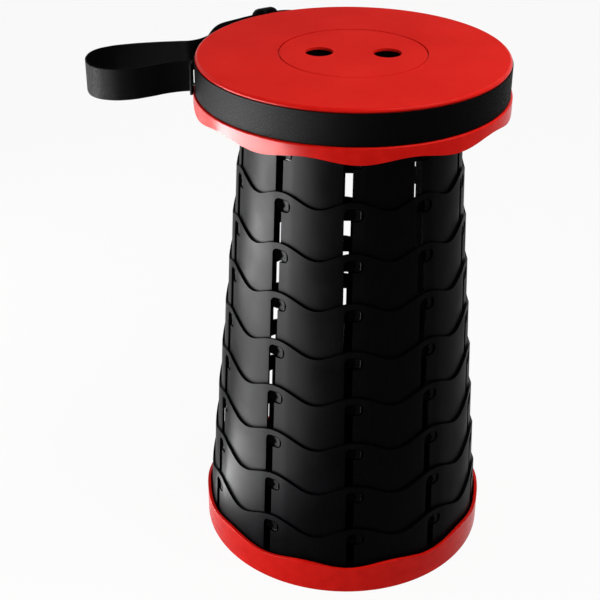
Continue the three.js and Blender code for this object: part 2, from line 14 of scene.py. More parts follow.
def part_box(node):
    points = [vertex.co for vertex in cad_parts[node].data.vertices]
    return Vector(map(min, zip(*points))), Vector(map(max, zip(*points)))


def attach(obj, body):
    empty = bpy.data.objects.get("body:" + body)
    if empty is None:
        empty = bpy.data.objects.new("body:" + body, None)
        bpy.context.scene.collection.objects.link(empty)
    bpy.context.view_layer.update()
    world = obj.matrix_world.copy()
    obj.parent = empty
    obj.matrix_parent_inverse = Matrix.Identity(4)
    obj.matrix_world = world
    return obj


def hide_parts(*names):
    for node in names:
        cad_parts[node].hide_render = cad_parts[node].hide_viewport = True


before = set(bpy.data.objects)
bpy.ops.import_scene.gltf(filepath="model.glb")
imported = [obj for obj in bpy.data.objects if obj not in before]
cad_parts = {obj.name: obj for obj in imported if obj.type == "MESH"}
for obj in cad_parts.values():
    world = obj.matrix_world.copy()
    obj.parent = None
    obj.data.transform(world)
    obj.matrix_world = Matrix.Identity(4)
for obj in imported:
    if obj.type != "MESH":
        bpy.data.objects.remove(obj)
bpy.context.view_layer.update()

# %% [markdown]
# The camera stands right in front of the stool's axis. It looks down by about 30 degrees and a
# little to the left. Its place, its turn and its focal length were worked out from the ellipses of
# the seat and the base. The image is 600 pixels wide and high.

# %% The camera
MM = 0.001
IMAGE_SIDE = 600
SENSOR_MM = 36
FOCAL_PIXELS = 1273.15
CAMERA_BACK = 979.44 * MM
CAMERA_UP = 776.77 * MM
CAMERA_PITCH = 0.5148
CAMERA_YAW = -0.0422
CAMERA_ROLL = 0.0052
CLIP_START = 10 * MM


def place_camera():
    """A camera that looks along its pitch and yaw, rolled by a hair, as a plain matrix."""
    ahead = Vector((
        math.sin(CAMERA_YAW) * math.cos(CAMERA_PITCH),
        math.cos(CAMERA_YAW) * math.cos(CAMERA_PITCH),
        -math.sin(CAMERA_PITCH),
    ))
    level = ahead.cross(Vector((0, 0, 1))).normalized()
    above = level.cross(ahead)
    right = math.cos(CAMERA_ROLL) * level + math.sin(CAMERA_ROLL) * above
    up = math.cos(CAMERA_ROLL) * above - math.sin(CAMERA_ROLL) * level
    bpy.ops.object.camera_add(location=(0, 0, 0))
    camera = bpy.context.object
    camera.name = "photo_camera"
    camera.data.sensor_width = SENSOR_MM
    camera.data.lens = FOCAL_PIXELS * SENSOR_MM / IMAGE_SIDE
    camera.data.clip_start = CLIP_START
    camera.matrix_world = (
        Matrix.Translation((0, -CAMERA_BACK, CAMERA_UP))
        @ Matrix((right, up, -ahead)).transposed().to_4x4()
    )
    return camera


bpy.context.scene.camera = place_camera()
print("lens", round(bpy.context.scene.camera.data.lens, 2), "mm")

# %% [markdown]
# The same few steps come back in every piece: a primitive is added, it is opened in edit mode, some
# of its vertices are picked by their place, and a modifier is applied. Each step gets a helper.
# Edges are picked through their ends, because the vertices' places are easy to test.

# %% Helpers for modelling
ORIGIN = (0, 0, 0)
MERGE = 1e-6  # vertices closer than this are doubles
FLAT = 0.01  # radians between faces that count as one plane


def select_only(piece):
    """Make one piece the active one and the only one that is selected."""
    bpy.ops.object.select_all(action="DESELECT")
    bpy.context.view_layer.objects.active = piece
    piece.select_set(True)


def name_new(name):
    """Name the object that an operator has just made."""
    piece = bpy.context.object
    piece.name = name
    piece.data.name = name
    return piece


def add(operator, name, **settings):
    """Run an operator that adds an object, with nothing else selected, and name the object."""
    bpy.ops.object.select_all(action="DESELECT")
    operator(**settings)
    return name_new(name)


def add_cylinder(name, sides, radius, depth, place, turned=ORIGIN):
    return add(
        bpy.ops.mesh.primitive_cylinder_add, name,
        vertices=sides, radius=radius, depth=depth, location=place, rotation=turned,
    )


def open_mesh(piece):
    """Go into edit mode on one piece alone, picking vertices."""
    select_only(piece)
    bpy.ops.object.mode_set(mode="EDIT")
    bpy.ops.mesh.select_mode(type="VERT")


def close_mesh():
    bpy.ops.object.mode_set(mode="OBJECT")


def pick_all():
    bpy.ops.mesh.select_all(action="SELECT")


def pick(piece, test):
    """In edit mode, select the vertices whose place passes a test, and what lies between them."""
    mesh = bmesh.from_edit_mesh(piece.data)
    bpy.ops.mesh.select_all(action="DESELECT")
    for vertex in mesh.verts:
        vertex.select_set(bool(test(vertex.co)))
    mesh.select_flush(True)
    bmesh.update_edit_mesh(piece.data)


def push(x=0, y=0, z=0):
    bpy.ops.transform.translate(value=(x, y, z))


def grow(factor, centre=ORIGIN):
    bpy.ops.transform.resize(value=(factor, factor, 1), center_override=centre)


def tidy_normals(merge=MERGE):
    """Merge doubles and turn every face outwards."""
    pick_all()
    bpy.ops.mesh.remove_doubles(threshold=merge)
    bpy.ops.mesh.normals_make_consistent(inside=False)


def merge_flat(limit=FLAT):
    """In edit mode, merge the faces that lie in one plane."""
    pick_all()
    bpy.ops.mesh.dissolve_limited(angle_limit=limit)


def slice_at(place, across):
    """In edit mode, cut every face where it crosses a plane."""
    pick_all()
    bpy.ops.mesh.bisect(plane_co=place, plane_no=across)


def round_corners(size, steps):
    """In edit mode, round the picked corners of a flat face."""
    bpy.ops.mesh.bevel(offset=size, segments=steps, affect="VERTICES")


def settle(piece):
    """Write a piece's place, turn and size into its mesh."""
    select_only(piece)
    bpy.ops.object.transform_apply(location=True, rotation=True, scale=True)


def modify(piece, kind, **settings):
    """Add a modifier with its settings and apply it at once."""
    select_only(piece)
    modifier = piece.modifiers.new(kind.lower(), kind)
    for key, value in settings.items():
        setattr(modifier, key, value)
    bpy.ops.object.modifier_apply(modifier=modifier.name)


def smooth(piece, degrees=30):
    """Smooth shading that keeps the edges sharper than an angle, as a shape's last step."""
    select_only(piece)
    bpy.ops.object.shade_smooth_by_angle(angle=math.radians(degrees))
    print(piece.name, len(piece.data.polygons), "faces")


def round_edges(piece, width, segments=2, degrees=40):
    modify(
        piece, "BEVEL", width=width, segments=segments,
        limit_method="ANGLE", angle_limit=math.radians(degrees),
    )


def subtract(piece, cutter):
    modify(piece, "BOOLEAN", operation="DIFFERENCE", solver="EXACT", object=cutter)
    bpy.data.objects.remove(cutter)


def unite(piece, extra):
    modify(piece, "BOOLEAN", operation="UNION", solver="EXACT", object=extra)
    bpy.data.objects.remove(extra)


def keep(piece, node, body):
    """Let a finished piece stand for its CAD node and move with its body."""
    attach(piece, body)
    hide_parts(node)
    piece.data.calc_loop_triangles()
    print(piece.name, len(piece.data.loop_triangles), "triangles, rides on", body)


# %% [markdown]
# Most plastic parts of the stool are turned shapes: a profile goes once round the axis. The profile
# starts as a circle. Its edge is extruded from point to point and resized about the axis, which is
# what a potter does with a lump on the wheel. A closed profile ends where it began, and the doubled
# circle is merged.

# %% A turned shape
AXIS_POINT = 1e-5  # radius that stands for a point on the axis until it is merged
LOBES = 10  # waves round every ring and round the two red edges
LOBE = 2 * math.pi / LOBES
COLUMNS = 240  # round a turned shape, so that 24 columns make a lobe
COLUMN = 2 * math.pi / COLUMNS


def turn(name, profile, columns=COLUMNS, turned=0):
    """A closed shape turned from a profile of (radius, height) points in metres."""
    points = [(max(radius, AXIS_POINT), height) for radius, height in profile]
    points.append(points[0])
    first_radius, first_height = points[0]
    piece = add(
        bpy.ops.mesh.primitive_circle_add, name, vertices=columns,
        radius=first_radius, location=(0, 0, first_height), rotation=(0, 0, turned),
    )
    settle(piece)
    open_mesh(piece)
    pick_all()
    for (radius, height), (next_radius, next_height) in zip(points, points[1:]):
        bpy.ops.mesh.extrude_edges_move(
            TRANSFORM_OT_translate={"value": (0, 0, next_height - height)}
        )
        grow(next_radius / radius, centre=(0, 0, next_height))
    tidy_normals(3 * AXIS_POINT)
    close_mesh()
    return piece


# %% [markdown]
# The rings and the two red edges repeat ten times round the stool. What is done to one column of
# vertices is done to all the columns that lie as far from one of ten places, in one move.

# %% Moves that repeat round the stool
def angle_of(place):
    """Angle from the front, counted towards +X."""
    return math.atan2(place.x, -place.y)


def off_lobe(angle, first):
    """How far an angle lies from the nearest of ten places, one lobe apart."""
    turned = angle - first
    return turned - round(turned / LOBE) * LOBE


def by_columns(piece, first, test, change):
    """Call a change for each group of columns that lie equally far from the places."""
    open_mesh(piece)
    for i in range(COLUMNS // LOBES // 2):
        offset = (i + 0.5) * COLUMN
        pick(
            piece,
            lambda co: test(co)
            and abs(abs(off_lobe(angle_of(co), first)) - offset) < COLUMN / 4,
        )
        change(offset)
    close_mesh()


def copy_round(piece, twist):
    """Ten copies of a piece in one mesh round the axis, turned to their places."""
    open_mesh(piece)
    pick_all()
    for _ in range(LOBES - 1):
        bpy.ops.mesh.duplicate_move()
        bpy.ops.transform.rotate(value=LOBE, orient_axis="Z", center_override=ORIGIN)
    close_mesh()
    piece.rotation_euler.z = twist
    settle(piece)
    return piece


# %% [markdown]
# The sizes of the telescope are the CAD model's own: how high each ring's crest stands, how much
# wider each ring is than the one above it, and how a ring's wall flares downwards so that the rings
# lock tight when the stool stands open.

# %% Sizes of the telescope
SEAT_TOP = 450 * MM
RING_COUNT = 9
TRAVEL = 42.4 * MM
RING_DEPTH = 58.4 * MM
RING_WALL = 1.9 * MM
JOINT_GAP = 0.32 * MM
TAPER = 0.042
FIRST_RADIUS = 90.4 * MM
RADIAL_STEP = RING_WALL + JOINT_GAP + TAPER * TRAVEL
OUTER_CREST = 65 * MM
FLANGE_SEAT = 3.3 * MM
FOOT_FLANGE = 2.4 * MM
FLANGE_REACH = 10 * MM
WAVE_SHARE = 0.088
CREST_SHIFT = math.radians(2.5)
TWIST_STEP = math.radians(0.6)
FIRST_TWIST = math.radians(-0.8)


def ring_radius(number):
    return FIRST_RADIUS + (number - 1) * RADIAL_STEP


def ring_crest(number):
    return OUTER_CREST + (RING_COUNT - number) * TRAVEL


def ring_twist(number):
    return FIRST_TWIST + (number - 1) * TWIST_STEP


first, last = (round(ring_radius(number) / MM, 1) for number in (1, RING_COUNT))
print("rings from", first, "to", last, "mm")

# %% [markdown]
# A ring is a thin wall that flares a little downwards. Its upper edge rises and falls in ten waves
# with round hills and valleys and straight flanks. Under each hill lies a flat land, which the
# J-shaped slot is cut into. The wall is turned first. Then its lands are drawn in until they are
# flat, and the upper edge is lowered column by column.

# %% A ring's wall
HILL_ROUND = math.radians(8)  # the wave is round this far from a hill's top
VALLEY_ROUND = math.radians(5.5)  # and this far from a valley's bottom
LAND_HALF = math.radians(5.3)  # half the flat land's width
HIDDEN_BELOW = TRAVEL + 4.9 * MM  # here a ring goes under the next one, over its slots
SAME = 0.1 * MM  # heights closer than this are the same


def wave_share(offset):
    """Depth of the wavy edge as a share of the wave: 0 on a hill, 1 in a valley."""
    slope = 1 / (LOBE / 2 - HILL_ROUND / 2 - VALLEY_ROUND / 2)
    if offset < HILL_ROUND:
        return slope * offset**2 / (2 * HILL_ROUND)
    if offset > LOBE / 2 - VALLEY_ROUND:
        return 1 - slope * (LOBE / 2 - offset) ** 2 / (2 * VALLEY_ROUND)
    return slope * (offset - HILL_ROUND / 2)


def flatten_lands(piece, hill):
    by_columns(
        piece,
        hill,
        lambda co: True,
        lambda offset: grow(min(1, math.cos(LAND_HALF) / math.cos(offset))),
    )


def ring_wall(name, number, depth, inside):
    """A ring's wall, with the profile of its inside given from the foot upwards."""
    radius, crest = ring_radius(number), ring_crest(number)
    foot = radius + TAPER * depth
    hill = ring_twist(number) + CREST_SHIFT
    hidden = crest - HIDDEN_BELOW
    profile = [
        (radius, crest),
        (radius + TAPER * HIDDEN_BELOW, hidden),
        (foot, crest - depth),
        *inside,
        (radius - RING_WALL, crest),
    ]
    piece = turn(name, profile, turned=hill + COLUMN / 2)
    flatten_lands(piece, hill)

    def lower(offset):
        drop = WAVE_SHARE * radius * wave_share(offset)
        push(z=-drop)
        grow(1 + TAPER * drop / radius)

    by_columns(piece, hill, lambda co: co.z > crest - SAME, lower)
    return piece


# %% [markdown]
# The J-slot is cut with a tool of its own shape: a flat J with rounded corners, which is pushed
# through the wall ten times. A lug slides up the stem and is turned into the pocket at its top.

# %% The slots' cutter
STEM_WIDTH = 7 * MM
SLOT_TOP = 5.2 * MM
STEM_DEPTH = TRAVEL + 5 * MM
POCKET_REACH = 15.4 * MM
POCKET_HEIGHT = 11 * MM
SLOT_CORNER = 5 * MM
POCKET_CORNER = 4.8 * MM
CUT_DEPTH = 12 * MM


def upright_plane(name, left, right, low, high, y):
    """A flat face that stands upright and looks along the Y axis."""
    middle = ((left + right) / 2, y, (low + high) / 2)
    plane = add(
        bpy.ops.mesh.primitive_plane_add, name,
        size=1, location=middle, rotation=(math.pi / 2, 0, 0),
    )
    plane.scale = (right - left, high - low, 1)
    settle(plane)
    return plane


def pull_out(depth):
    """In edit mode, give a flat face depth towards the front."""
    pick_all()
    bpy.ops.mesh.extrude_region_move(TRANSFORM_OT_translate={"value": (0, -depth, 0)})
    tidy_normals()


def slot_cutter(radius, crest, twist):
    """Ten J-shaped cutters for the ring whose crest stands at a height."""
    left, right = -STEM_WIDTH / 2, STEM_WIDTH / 2
    top, low = crest - SLOT_TOP, crest - STEM_DEPTH
    floor = top - POCKET_HEIGHT
    cutter = upright_plane("slot_cutter", left, right, low, top, CUT_DEPTH / 2 - radius)
    open_mesh(cutter)
    slice_at((0, 0, floor), (0, 0, 1))
    pick(cutter, lambda co: co.x > right - SAME and co.z > floor - SAME)
    bpy.ops.mesh.extrude_edges_move(
        TRANSFORM_OT_translate={"value": (POCKET_REACH - STEM_WIDTH, 0, 0)}
    )
    pick_all()
    bpy.ops.mesh.remove_doubles(threshold=MERGE)
    merge_flat()
    pick(cutter, lambda co: co.x < left + SAME and co.z > top - SAME)
    round_corners(SLOT_CORNER, 8)
    pick(cutter, lambda co: co.x > right + SAME)
    round_corners(POCKET_CORNER, 6)
    pull_out(CUT_DEPTH)
    close_mesh()
    return copy_round(cutter, twist)


# %% [markdown]
# At its foot each ring has ten lugs, which hook outwards into the pockets of the next ring. A lug
# is a small rounded tab with a dent in its side and a sunken field. It starts as a flat face whose
# corners are rounded before it is pushed outwards.

# %% The lugs
LUG_LEFT = 3.6 * MM  # from the middle of the slot that the lug sits in
LUG_RIGHT = 10 * MM
LUG_HEIGHT = 9.5 * MM
LUG_OUT = 1.4 * MM  # so that it also clears the next ring's wall when folded
LUG_ROOT = 0.8 * MM
LUG_TOP = TRAVEL + SLOT_TOP + 0.6 * MM  # below its own ring's crest
LUG_ROUND = 2.4 * MM
LUG_DENT = 2.4 * MM
LUG_RIM = 0.8 * MM
LUG_SUNK = 0.5 * MM
LUG_EDGE = 0.35 * MM


def ring_lugs(radius, crest, twist):
    """Ten lugs on the outside of a ring, each in a pocket of the ring whose twist is given."""
    top = crest - LUG_TOP
    low = top - LUG_HEIGHT
    mid = (top + low) / 2
    face = radius + TAPER * LUG_TOP
    centre = (LUG_LEFT + LUG_RIGHT) / 2
    sunk = face - math.sqrt(face**2 - LUG_RIGHT**2)
    lugs = upright_plane("lugs", LUG_LEFT, LUG_RIGHT, low, top, sunk + LUG_ROOT - face)
    open_mesh(lugs)
    slice_at((0, 0, mid), (0, 0, 1))
    pick(lugs, lambda co: abs(co.z - mid) < SAME and co.x < centre)
    push(x=LUG_DENT)
    pick(lugs, lambda co: abs(co.z - mid) > SAME)
    round_corners(LUG_ROUND, 4)
    merge_flat()
    pull_out(sunk + LUG_ROOT + LUG_OUT)
    outside = -face - LUG_OUT
    pick(lugs, lambda co: co.y < outside + SAME)
    bpy.ops.mesh.inset(thickness=LUG_RIM, depth=0)
    push(y=LUG_SUNK)
    close_mesh()
    round_edges(lugs, LUG_EDGE)
    return copy_round(lugs, twist)


# %% [markdown]
# All nine rings come from one loop. The wall is turned, the slots are cut, the edges are rounded,
# and the lugs are joined on. The outermost ring is different: it reaches down to the base, and its
# foot has a flange inside for the base's screws in place of lugs.

# %% The nine rings
RING_EDGE = 0.4 * MM


def hang_inside(number, depth):
    """The profile of a ring's inside, from the foot up to below its crest."""
    foot = ring_radius(number) + TAPER * depth
    if number < RING_COUNT:
        return [(foot - RING_WALL, ring_crest(number) - depth)]
    reach = foot - RING_WALL - FLANGE_REACH
    low = ring_crest(number) - depth
    return [
        (reach, low),
        (reach, low + FOOT_FLANGE),
        (foot - TAPER * FOOT_FLANGE - RING_WALL, low + FOOT_FLANGE),
    ]


rings = []
for number in range(1, RING_COUNT + 1):
    radius, crest = ring_radius(number), ring_crest(number)
    depth = RING_DEPTH if number < RING_COUNT else crest - FLANGE_SEAT
    ring = ring_wall(f"telescope_ring_{number}", number, depth, hang_inside(number, depth))
    subtract(ring, slot_cutter(radius, crest, ring_twist(number)))
    round_edges(ring, RING_EDGE)
    if number < RING_COUNT:
        unite(ring, ring_lugs(radius, crest, ring_twist(number + 1)))
    smooth(ring)
    rings.append(ring)

# %% [markdown]
# The collar is the innermost tube. It hangs under the seat by a flange, and its lugs hook into the
# first ring. Only a narrow strip of it shows below the skirt, and its lugs show in the pockets.

# %% The collar
COLLAR_RADIUS = FIRST_RADIUS - RADIAL_STEP
COLLAR_CREST = SEAT_TOP - 3.4 * MM
COLLAR_TOP = 446.9 * MM
COLLAR_FLANGE_TOP = 438.6 * MM
COLLAR_FLANGE = 2.4 * MM
COLLAR_REACH = 14.5 * MM
COLLAR_SCREWS = 6
SCREW_HOLE = 1.6 * MM


def collar_outside(height):
    return COLLAR_RADIUS + TAPER * (COLLAR_CREST - height)


def collar_inside(height):
    return collar_outside(height) - RING_WALL


def screw_places(count, turned):
    """Angles of screws, which start halfway between two slots."""
    return [turned + LOBE / 2 + i * 2 * math.pi / count for i in range(count)]


def around(radius, angle, height=0):
    return Vector((radius * math.sin(angle), -radius * math.cos(angle), height))


POST_SIDES = 32
PAST = 1 * MM  # how far a drill goes past a face


def posts(change, piece, radius, circle, angles, low, high):
    """Cut or join on upright cylinders that stand in a circle, from one height to another."""
    for angle in angles:
        place = around(circle, angle, (low + high) / 2)
        change(piece, add_cylinder("post", POST_SIDES, radius, high - low, place))


collar_foot = COLLAR_CREST - RING_DEPTH
flange_low = COLLAR_FLANGE_TOP - COLLAR_FLANGE
flange_reach = COLLAR_RADIUS - RING_WALL - COLLAR_REACH
collar_hill = ring_twist(0) + CREST_SHIFT
collar = turn(
    "hanging_collar",
    [
        *((collar_outside(h), h) for h in (COLLAR_TOP, COLLAR_CREST - HIDDEN_BELOW, collar_foot)),
        *((collar_inside(h), h) for h in (collar_foot, flange_low)),
        (flange_reach, flange_low),
        (flange_reach, COLLAR_FLANGE_TOP),
        *((collar_inside(h), h) for h in (COLLAR_FLANGE_TOP, COLLAR_TOP)),
    ],
    turned=collar_hill + COLUMN / 2,
)
flatten_lands(collar, collar_hill)
boss_circle = COLLAR_RADIUS - RING_WALL - COLLAR_REACH / 2
collar_angles = screw_places(COLLAR_SCREWS, ring_twist(0))
posts(
    subtract, collar, SCREW_HOLE, boss_circle, collar_angles,
    flange_low - PAST, COLLAR_FLANGE_TOP + PAST,
)
round_edges(collar, RING_EDGE)
unite(collar, ring_lugs(COLLAR_RADIUS, COLLAR_CREST, ring_twist(1)))
smooth(collar)

# %% [markdown]
# The seat is one moulding: a flat plate with a rounded rim, a wall for the strap, a ledge under the
# strap and the skirt with its wavy lower edge. It is turned from one profile, and the skirt's edge
# is then waved.

# %% The seat shell
LAST_RADIUS = ring_radius(RING_COUNT)
LEDGE = 421 * MM
SEAT_PLATE = 2.8 * MM
SEAT_ROUND = 2.5 * MM
SEAT_LIP = 0.7 * MM
SEAT_WALL = 1.3 * MM
LEDGE_ROUND = 1.2 * MM
SKIRT_WALL = 2 * MM
SKIRT_EDGE = 409.8 * MM
EDGE_WAVE = 2.2 * MM
EDGE_PHASE = math.radians(3)
SEAT_PLAY = 0.45 * MM  # to the rings when folded
BASE_WALL = 2.93 * MM
BASE_INSIDE = LAST_RADIUS + TAPER * (OUTER_CREST - FLANGE_SEAT) + JOINT_GAP
BASE_RADIUS = BASE_INSIDE + BASE_WALL
SKIRT_RADIUS = BASE_RADIUS
SEAT_INSIDE = LAST_RADIUS + TAPER * (COLLAR_CREST - LEDGE) + SEAT_PLAY
STRAP_WALL = SEAT_INSIDE + SEAT_WALL
CAP_RADIUS = 59 * MM
CAP_OPENING = CAP_RADIUS + 1.1 * MM
CAP_THICKNESS = 1.9 * MM
HUB = CAP_OPENING + 5.6 * MM
HUB_LOW = SEAT_TOP - 5.4 * MM
HUB_INSIDE = CAP_OPENING - 3 * MM
SHELF = SEAT_TOP - CAP_THICKNESS - 0.3 * MM
PLATE_LOW = SEAT_TOP - SEAT_PLATE
BOSS_LENGTH = 8.3 * MM
BOSS_RADIUS = 4 * MM
BOSS_HOLE_TOP = PLATE_LOW - 2 * MM
MOULD_EDGE = 0.35 * MM


def arc(x, y, radius, first, last, steps):
    """Points of an arc, with its angles in degrees from the first axis."""
    angles = (math.radians(first + (last - first) * i / steps) for i in range(steps + 1))
    return [(x + radius * math.cos(a), y + radius * math.sin(a)) for a in angles]


def quarter(radius, height, size, steps):
    """Profile points of a rounded upper edge, from its top to its outside."""
    return arc(radius - size, height - size, size, 90, 0, steps)


def wave_edge(piece, test):
    by_columns(
        piece,
        EDGE_PHASE,
        test,
        lambda offset: push(z=-EDGE_WAVE * math.cos(LOBES * offset)),
    )


seat_rim = STRAP_WALL + SEAT_LIP
seat = turn(
    "seat_moulding",
    [
        (CAP_OPENING, SEAT_TOP),
        *quarter(seat_rim, SEAT_TOP, SEAT_ROUND, 8),
        (STRAP_WALL, SEAT_TOP - SEAT_ROUND),
        (STRAP_WALL, LEDGE),
        *quarter(SKIRT_RADIUS, LEDGE, LEDGE_ROUND, 4),
        (SKIRT_RADIUS, SKIRT_EDGE),
        (SKIRT_RADIUS - SKIRT_WALL, SKIRT_EDGE),
        (SKIRT_RADIUS - SKIRT_WALL, LEDGE - SKIRT_WALL),
        (SEAT_INSIDE, LEDGE - SKIRT_WALL),
        (SEAT_INSIDE, PLATE_LOW),
        (HUB, PLATE_LOW),
        (HUB, HUB_LOW),
        (HUB_INSIDE, HUB_LOW),
        (HUB_INSIDE, SHELF),
        (CAP_OPENING, SHELF),
    ],
    turned=EDGE_PHASE + COLUMN / 2,
)
wave_edge(seat, lambda co: abs(co.z - SKIRT_EDGE) < SAME)
boss_foot = PLATE_LOW - BOSS_LENGTH
boss_top = PLATE_LOW + SEAT_PLATE / 2
posts(unite, seat, BOSS_RADIUS, boss_circle, collar_angles, boss_foot, boss_top)
posts(
    subtract, seat, SCREW_HOLE, boss_circle, collar_angles, boss_foot - PAST, BOSS_HOLE_TOP
)
round_edges(seat, MOULD_EDGE)
smooth(seat)

# %% [markdown]
# The centre cap is a disc that clips into the seat's hub. A fine groove runs round it. Its two
# holes take two fingers, and each hole has a sleeve below.

# %% The centre cap
PLUG_RADIUS = CAP_RADIUS - 3 * MM
PLUG_WALL = 2 * MM
PLUG_LOW = HUB_LOW - 2.1 * MM
FINGER_RADIUS = 11.25 * MM
FINGER_SPACING = 54.4 * MM
FINGER_DEPTH = 13 * MM
FINGER_WALL = 1.7 * MM
# below the lip the sleeve gets painted shade, a dark black
FINGER_LIP = 2.2 * MM  # below it the sleeve is dark
FINGER_SIDES = 72
CAP_EDGE = 0.5 * MM

cap_low = SEAT_TOP - CAP_THICKNESS
cap = turn(
    "cap_moulding",
    [
        (0, SEAT_TOP),
        (CAP_RADIUS, SEAT_TOP),
        (CAP_RADIUS, cap_low),
        (PLUG_RADIUS, cap_low),
        (PLUG_RADIUS, PLUG_LOW),
        (PLUG_RADIUS - PLUG_WALL, PLUG_LOW),
        (PLUG_RADIUS - PLUG_WALL, cap_low),
        (0, cap_low),
    ],
)
open_mesh(cap)
merge_flat(math.radians(0.2))
close_mesh()
sleeve_middle = SEAT_TOP - (FINGER_DEPTH + CAP_THICKNESS / 2) / 2
for change, radius, depth, middle in (
    (unite, FINGER_RADIUS + FINGER_WALL, FINGER_DEPTH - CAP_THICKNESS / 2, sleeve_middle),
    (subtract, FINGER_RADIUS, 3 * FINGER_DEPTH, SEAT_TOP),
):
    for side in (-1, 1):
        place = (side * FINGER_SPACING / 2, 0, middle)
        change(cap, add_cylinder("finger_post", FINGER_SIDES, radius, depth, place))
round_edges(cap, CAP_EDGE, segments=3)
open_mesh(cap)
slice_at((0, 0, SEAT_TOP - FINGER_LIP), (0, 0, 1))
close_mesh()
smooth(cap)

# %% [markdown]
# The base is a shallow cup. Its wavy upper edge meets the skirt's when the stool is folded. Five
# screws go up through recesses in its floor into the outermost ring's foot.

# %% The base
BASE_EDGE = 27.9 * MM
FLOOR = 3 * MM
RIM_ROUND = 0.4 * MM
FOOT_ROUND = 1.2 * MM
BASE_SCREWS = 5
SCREW_HEAD = 1.7 * MM
SCREW_HEAD_RADIUS = 3.1 * MM
HEAD_PLAY = 0.3 * MM
RECESS = SCREW_HEAD + 2 * HEAD_PLAY
BASE_BEVEL = 0.3 * MM

base = turn(
    "base_moulding",
    [
        *quarter(BASE_RADIUS, BASE_EDGE, RIM_ROUND, 4),
        *arc(BASE_RADIUS - FOOT_ROUND, FOOT_ROUND, FOOT_ROUND, 0, -90, 4),
        (0, 0),
        (0, FLOOR),
        (BASE_INSIDE, FLOOR),
        (BASE_INSIDE, BASE_EDGE - RIM_ROUND),
        (BASE_INSIDE + RIM_ROUND, BASE_EDGE),
    ],
    turned=EDGE_PHASE + COLUMN / 2,
)
wave_edge(base, lambda co: co.z > BASE_EDGE - 2 * RIM_ROUND)
base_angles = screw_places(BASE_SCREWS, ring_twist(RING_COUNT))
base_circle = BASE_INSIDE - JOINT_GAP - RING_WALL - FLANGE_REACH / 2
flange_top = FLANGE_SEAT + FOOT_FLANGE
for piece, radius, low, high in (
    (base, SCREW_HEAD_RADIUS + HEAD_PLAY, -PAST, RECESS),
    (base, SCREW_HOLE, -PAST, FLOOR + PAST),
    (rings[-1], SCREW_HOLE, FLOOR, flange_top + PAST),
):
    posts(subtract, piece, radius, base_circle, base_angles, low, high)
round_edges(base, BASE_BEVEL, degrees=60)
smooth(base)

# %% [markdown]
# Webbing is a flat woven band. It is laid as a grid along a path: each column of the grid goes to
# the next point of the path, and each row keeps its height. The UV map counts millimetres along and
# across the band, so that the weave follows it. Solidify gives the band its thickness.

# %% Laying webbing along a path
WEB_WIDTH = 25.4 * MM
WEB_THICKNESS = 1.1 * MM
WEB_LOW = LEDGE + 0.3 * MM
WEB_ROWS = 8


def path_lengths(path):
    """How far along a path each of its points lies."""
    lengths = [0]
    for one, other in zip(path, path[1:]):
        lengths.append(lengths[-1] + math.dist(one[:2], other[:2]))
    return lengths


def webbing(name, path):
    """A band of webbing on edge along (x, y, lift, lean) points, with a UV map in millimetres.

    The lean is how far the upper edge stands further from the axis than the lower one."""
    band = add(
        bpy.ops.mesh.primitive_grid_add, name,
        x_subdivisions=len(path) - 1, y_subdivisions=WEB_ROWS, size=1, location=ORIGIN,
    )
    lengths = path_lengths(path)
    places = []
    for vertex in band.data.vertices:
        step = round((vertex.co.x + 0.5) * (len(path) - 1))
        across = vertex.co.y + 0.5
        places.append((lengths[step], across * WEB_WIDTH))
        x, y, lift, lean = path[step]
        outwards = Vector((x, y)).normalized() * lean * (across - 0.5)
        vertex.co = (x + outwards.x, y + outwards.y, WEB_LOW + lift + across * WEB_WIDTH)
    uv = band.data.uv_layers.active.data
    for loop in band.data.loops:
        along, across = places[loop.vertex_index]
        uv[loop.index].uv = (along / MM, across / MM)
    modify(band, "SOLIDIFY", thickness=WEB_THICKNESS, offset=0, use_even_offset=True)
    round_edges(band, WEB_THICKNESS / 3, degrees=70)
    print(name, "is", round(lengths[-1] / MM), "mm long")
    return band


# %% [markdown]
# The strap lies on the rim's wall. At the back left it leaves the rim, rises a little and goes
# through the slider: behind the side bars, over the middle bar.

# %% The rim strap
STRAP_INSIDE = STRAP_WALL + 0.3 * MM
STRAP_MIDDLE = STRAP_INSIDE + WEB_THICKNESS / 2
SLIDER_LENGTH = 26 * MM
SLIDER_HEIGHT = 33 * MM
SLIDER_THICKNESS = 2.4 * MM
SLIDER_BAR = 5 * MM
SLIDER_SIDE = 4 * MM
SLIDER_WINDOW = 25 * MM
SLIDER_RADIUS = SKIRT_RADIUS + 7.6 * MM + SLIDER_THICKNESS / 2
SLIDER_ANGLE = math.radians(-145.5)
SLIDER_SPAN = SLIDER_LENGTH / SLIDER_RADIUS
WEAVE_STEP = 2.3 * MM
# the strap leaves the rim, reaches the slider, parts from it and rests again, in slider spans
STANDOFF = (-1.7, -0.5, 1.05, 4.1)
WEB_LIFT = 0.3 * MM  # how much higher the strap runs in the slider
WEB_BOW = 1.6 * MM  # and how much higher on its way there
WEB_LEAN = 3.5 * MM
BOW_LEAN = 3 * MM
STRAP_SLACK = SLIDER_RADIUS - WEAVE_STEP - STRAP_MIDDLE
STRAP_STEPS = 480


def ease(value, low, high):
    share = min(1, max(0, (value - low) / (high - low)))
    return share * share * (3 - 2 * share)


def strap_loose(angle):
    """How loose the strap is, from 0 on the rim to 1 in the slider, and how far it is back."""
    leave, reach, part, rest = (SLIDER_ANGLE + share * SLIDER_SPAN for share in STANDOFF)
    back = ease(angle, part, rest)
    return ease(angle, leave, reach) - back, back


def strap_radius(angle):
    """Middle of the strap's thickness at an angle, without its way through the slider."""
    return STRAP_MIDDLE + STRAP_SLACK * strap_loose(angle)[0]


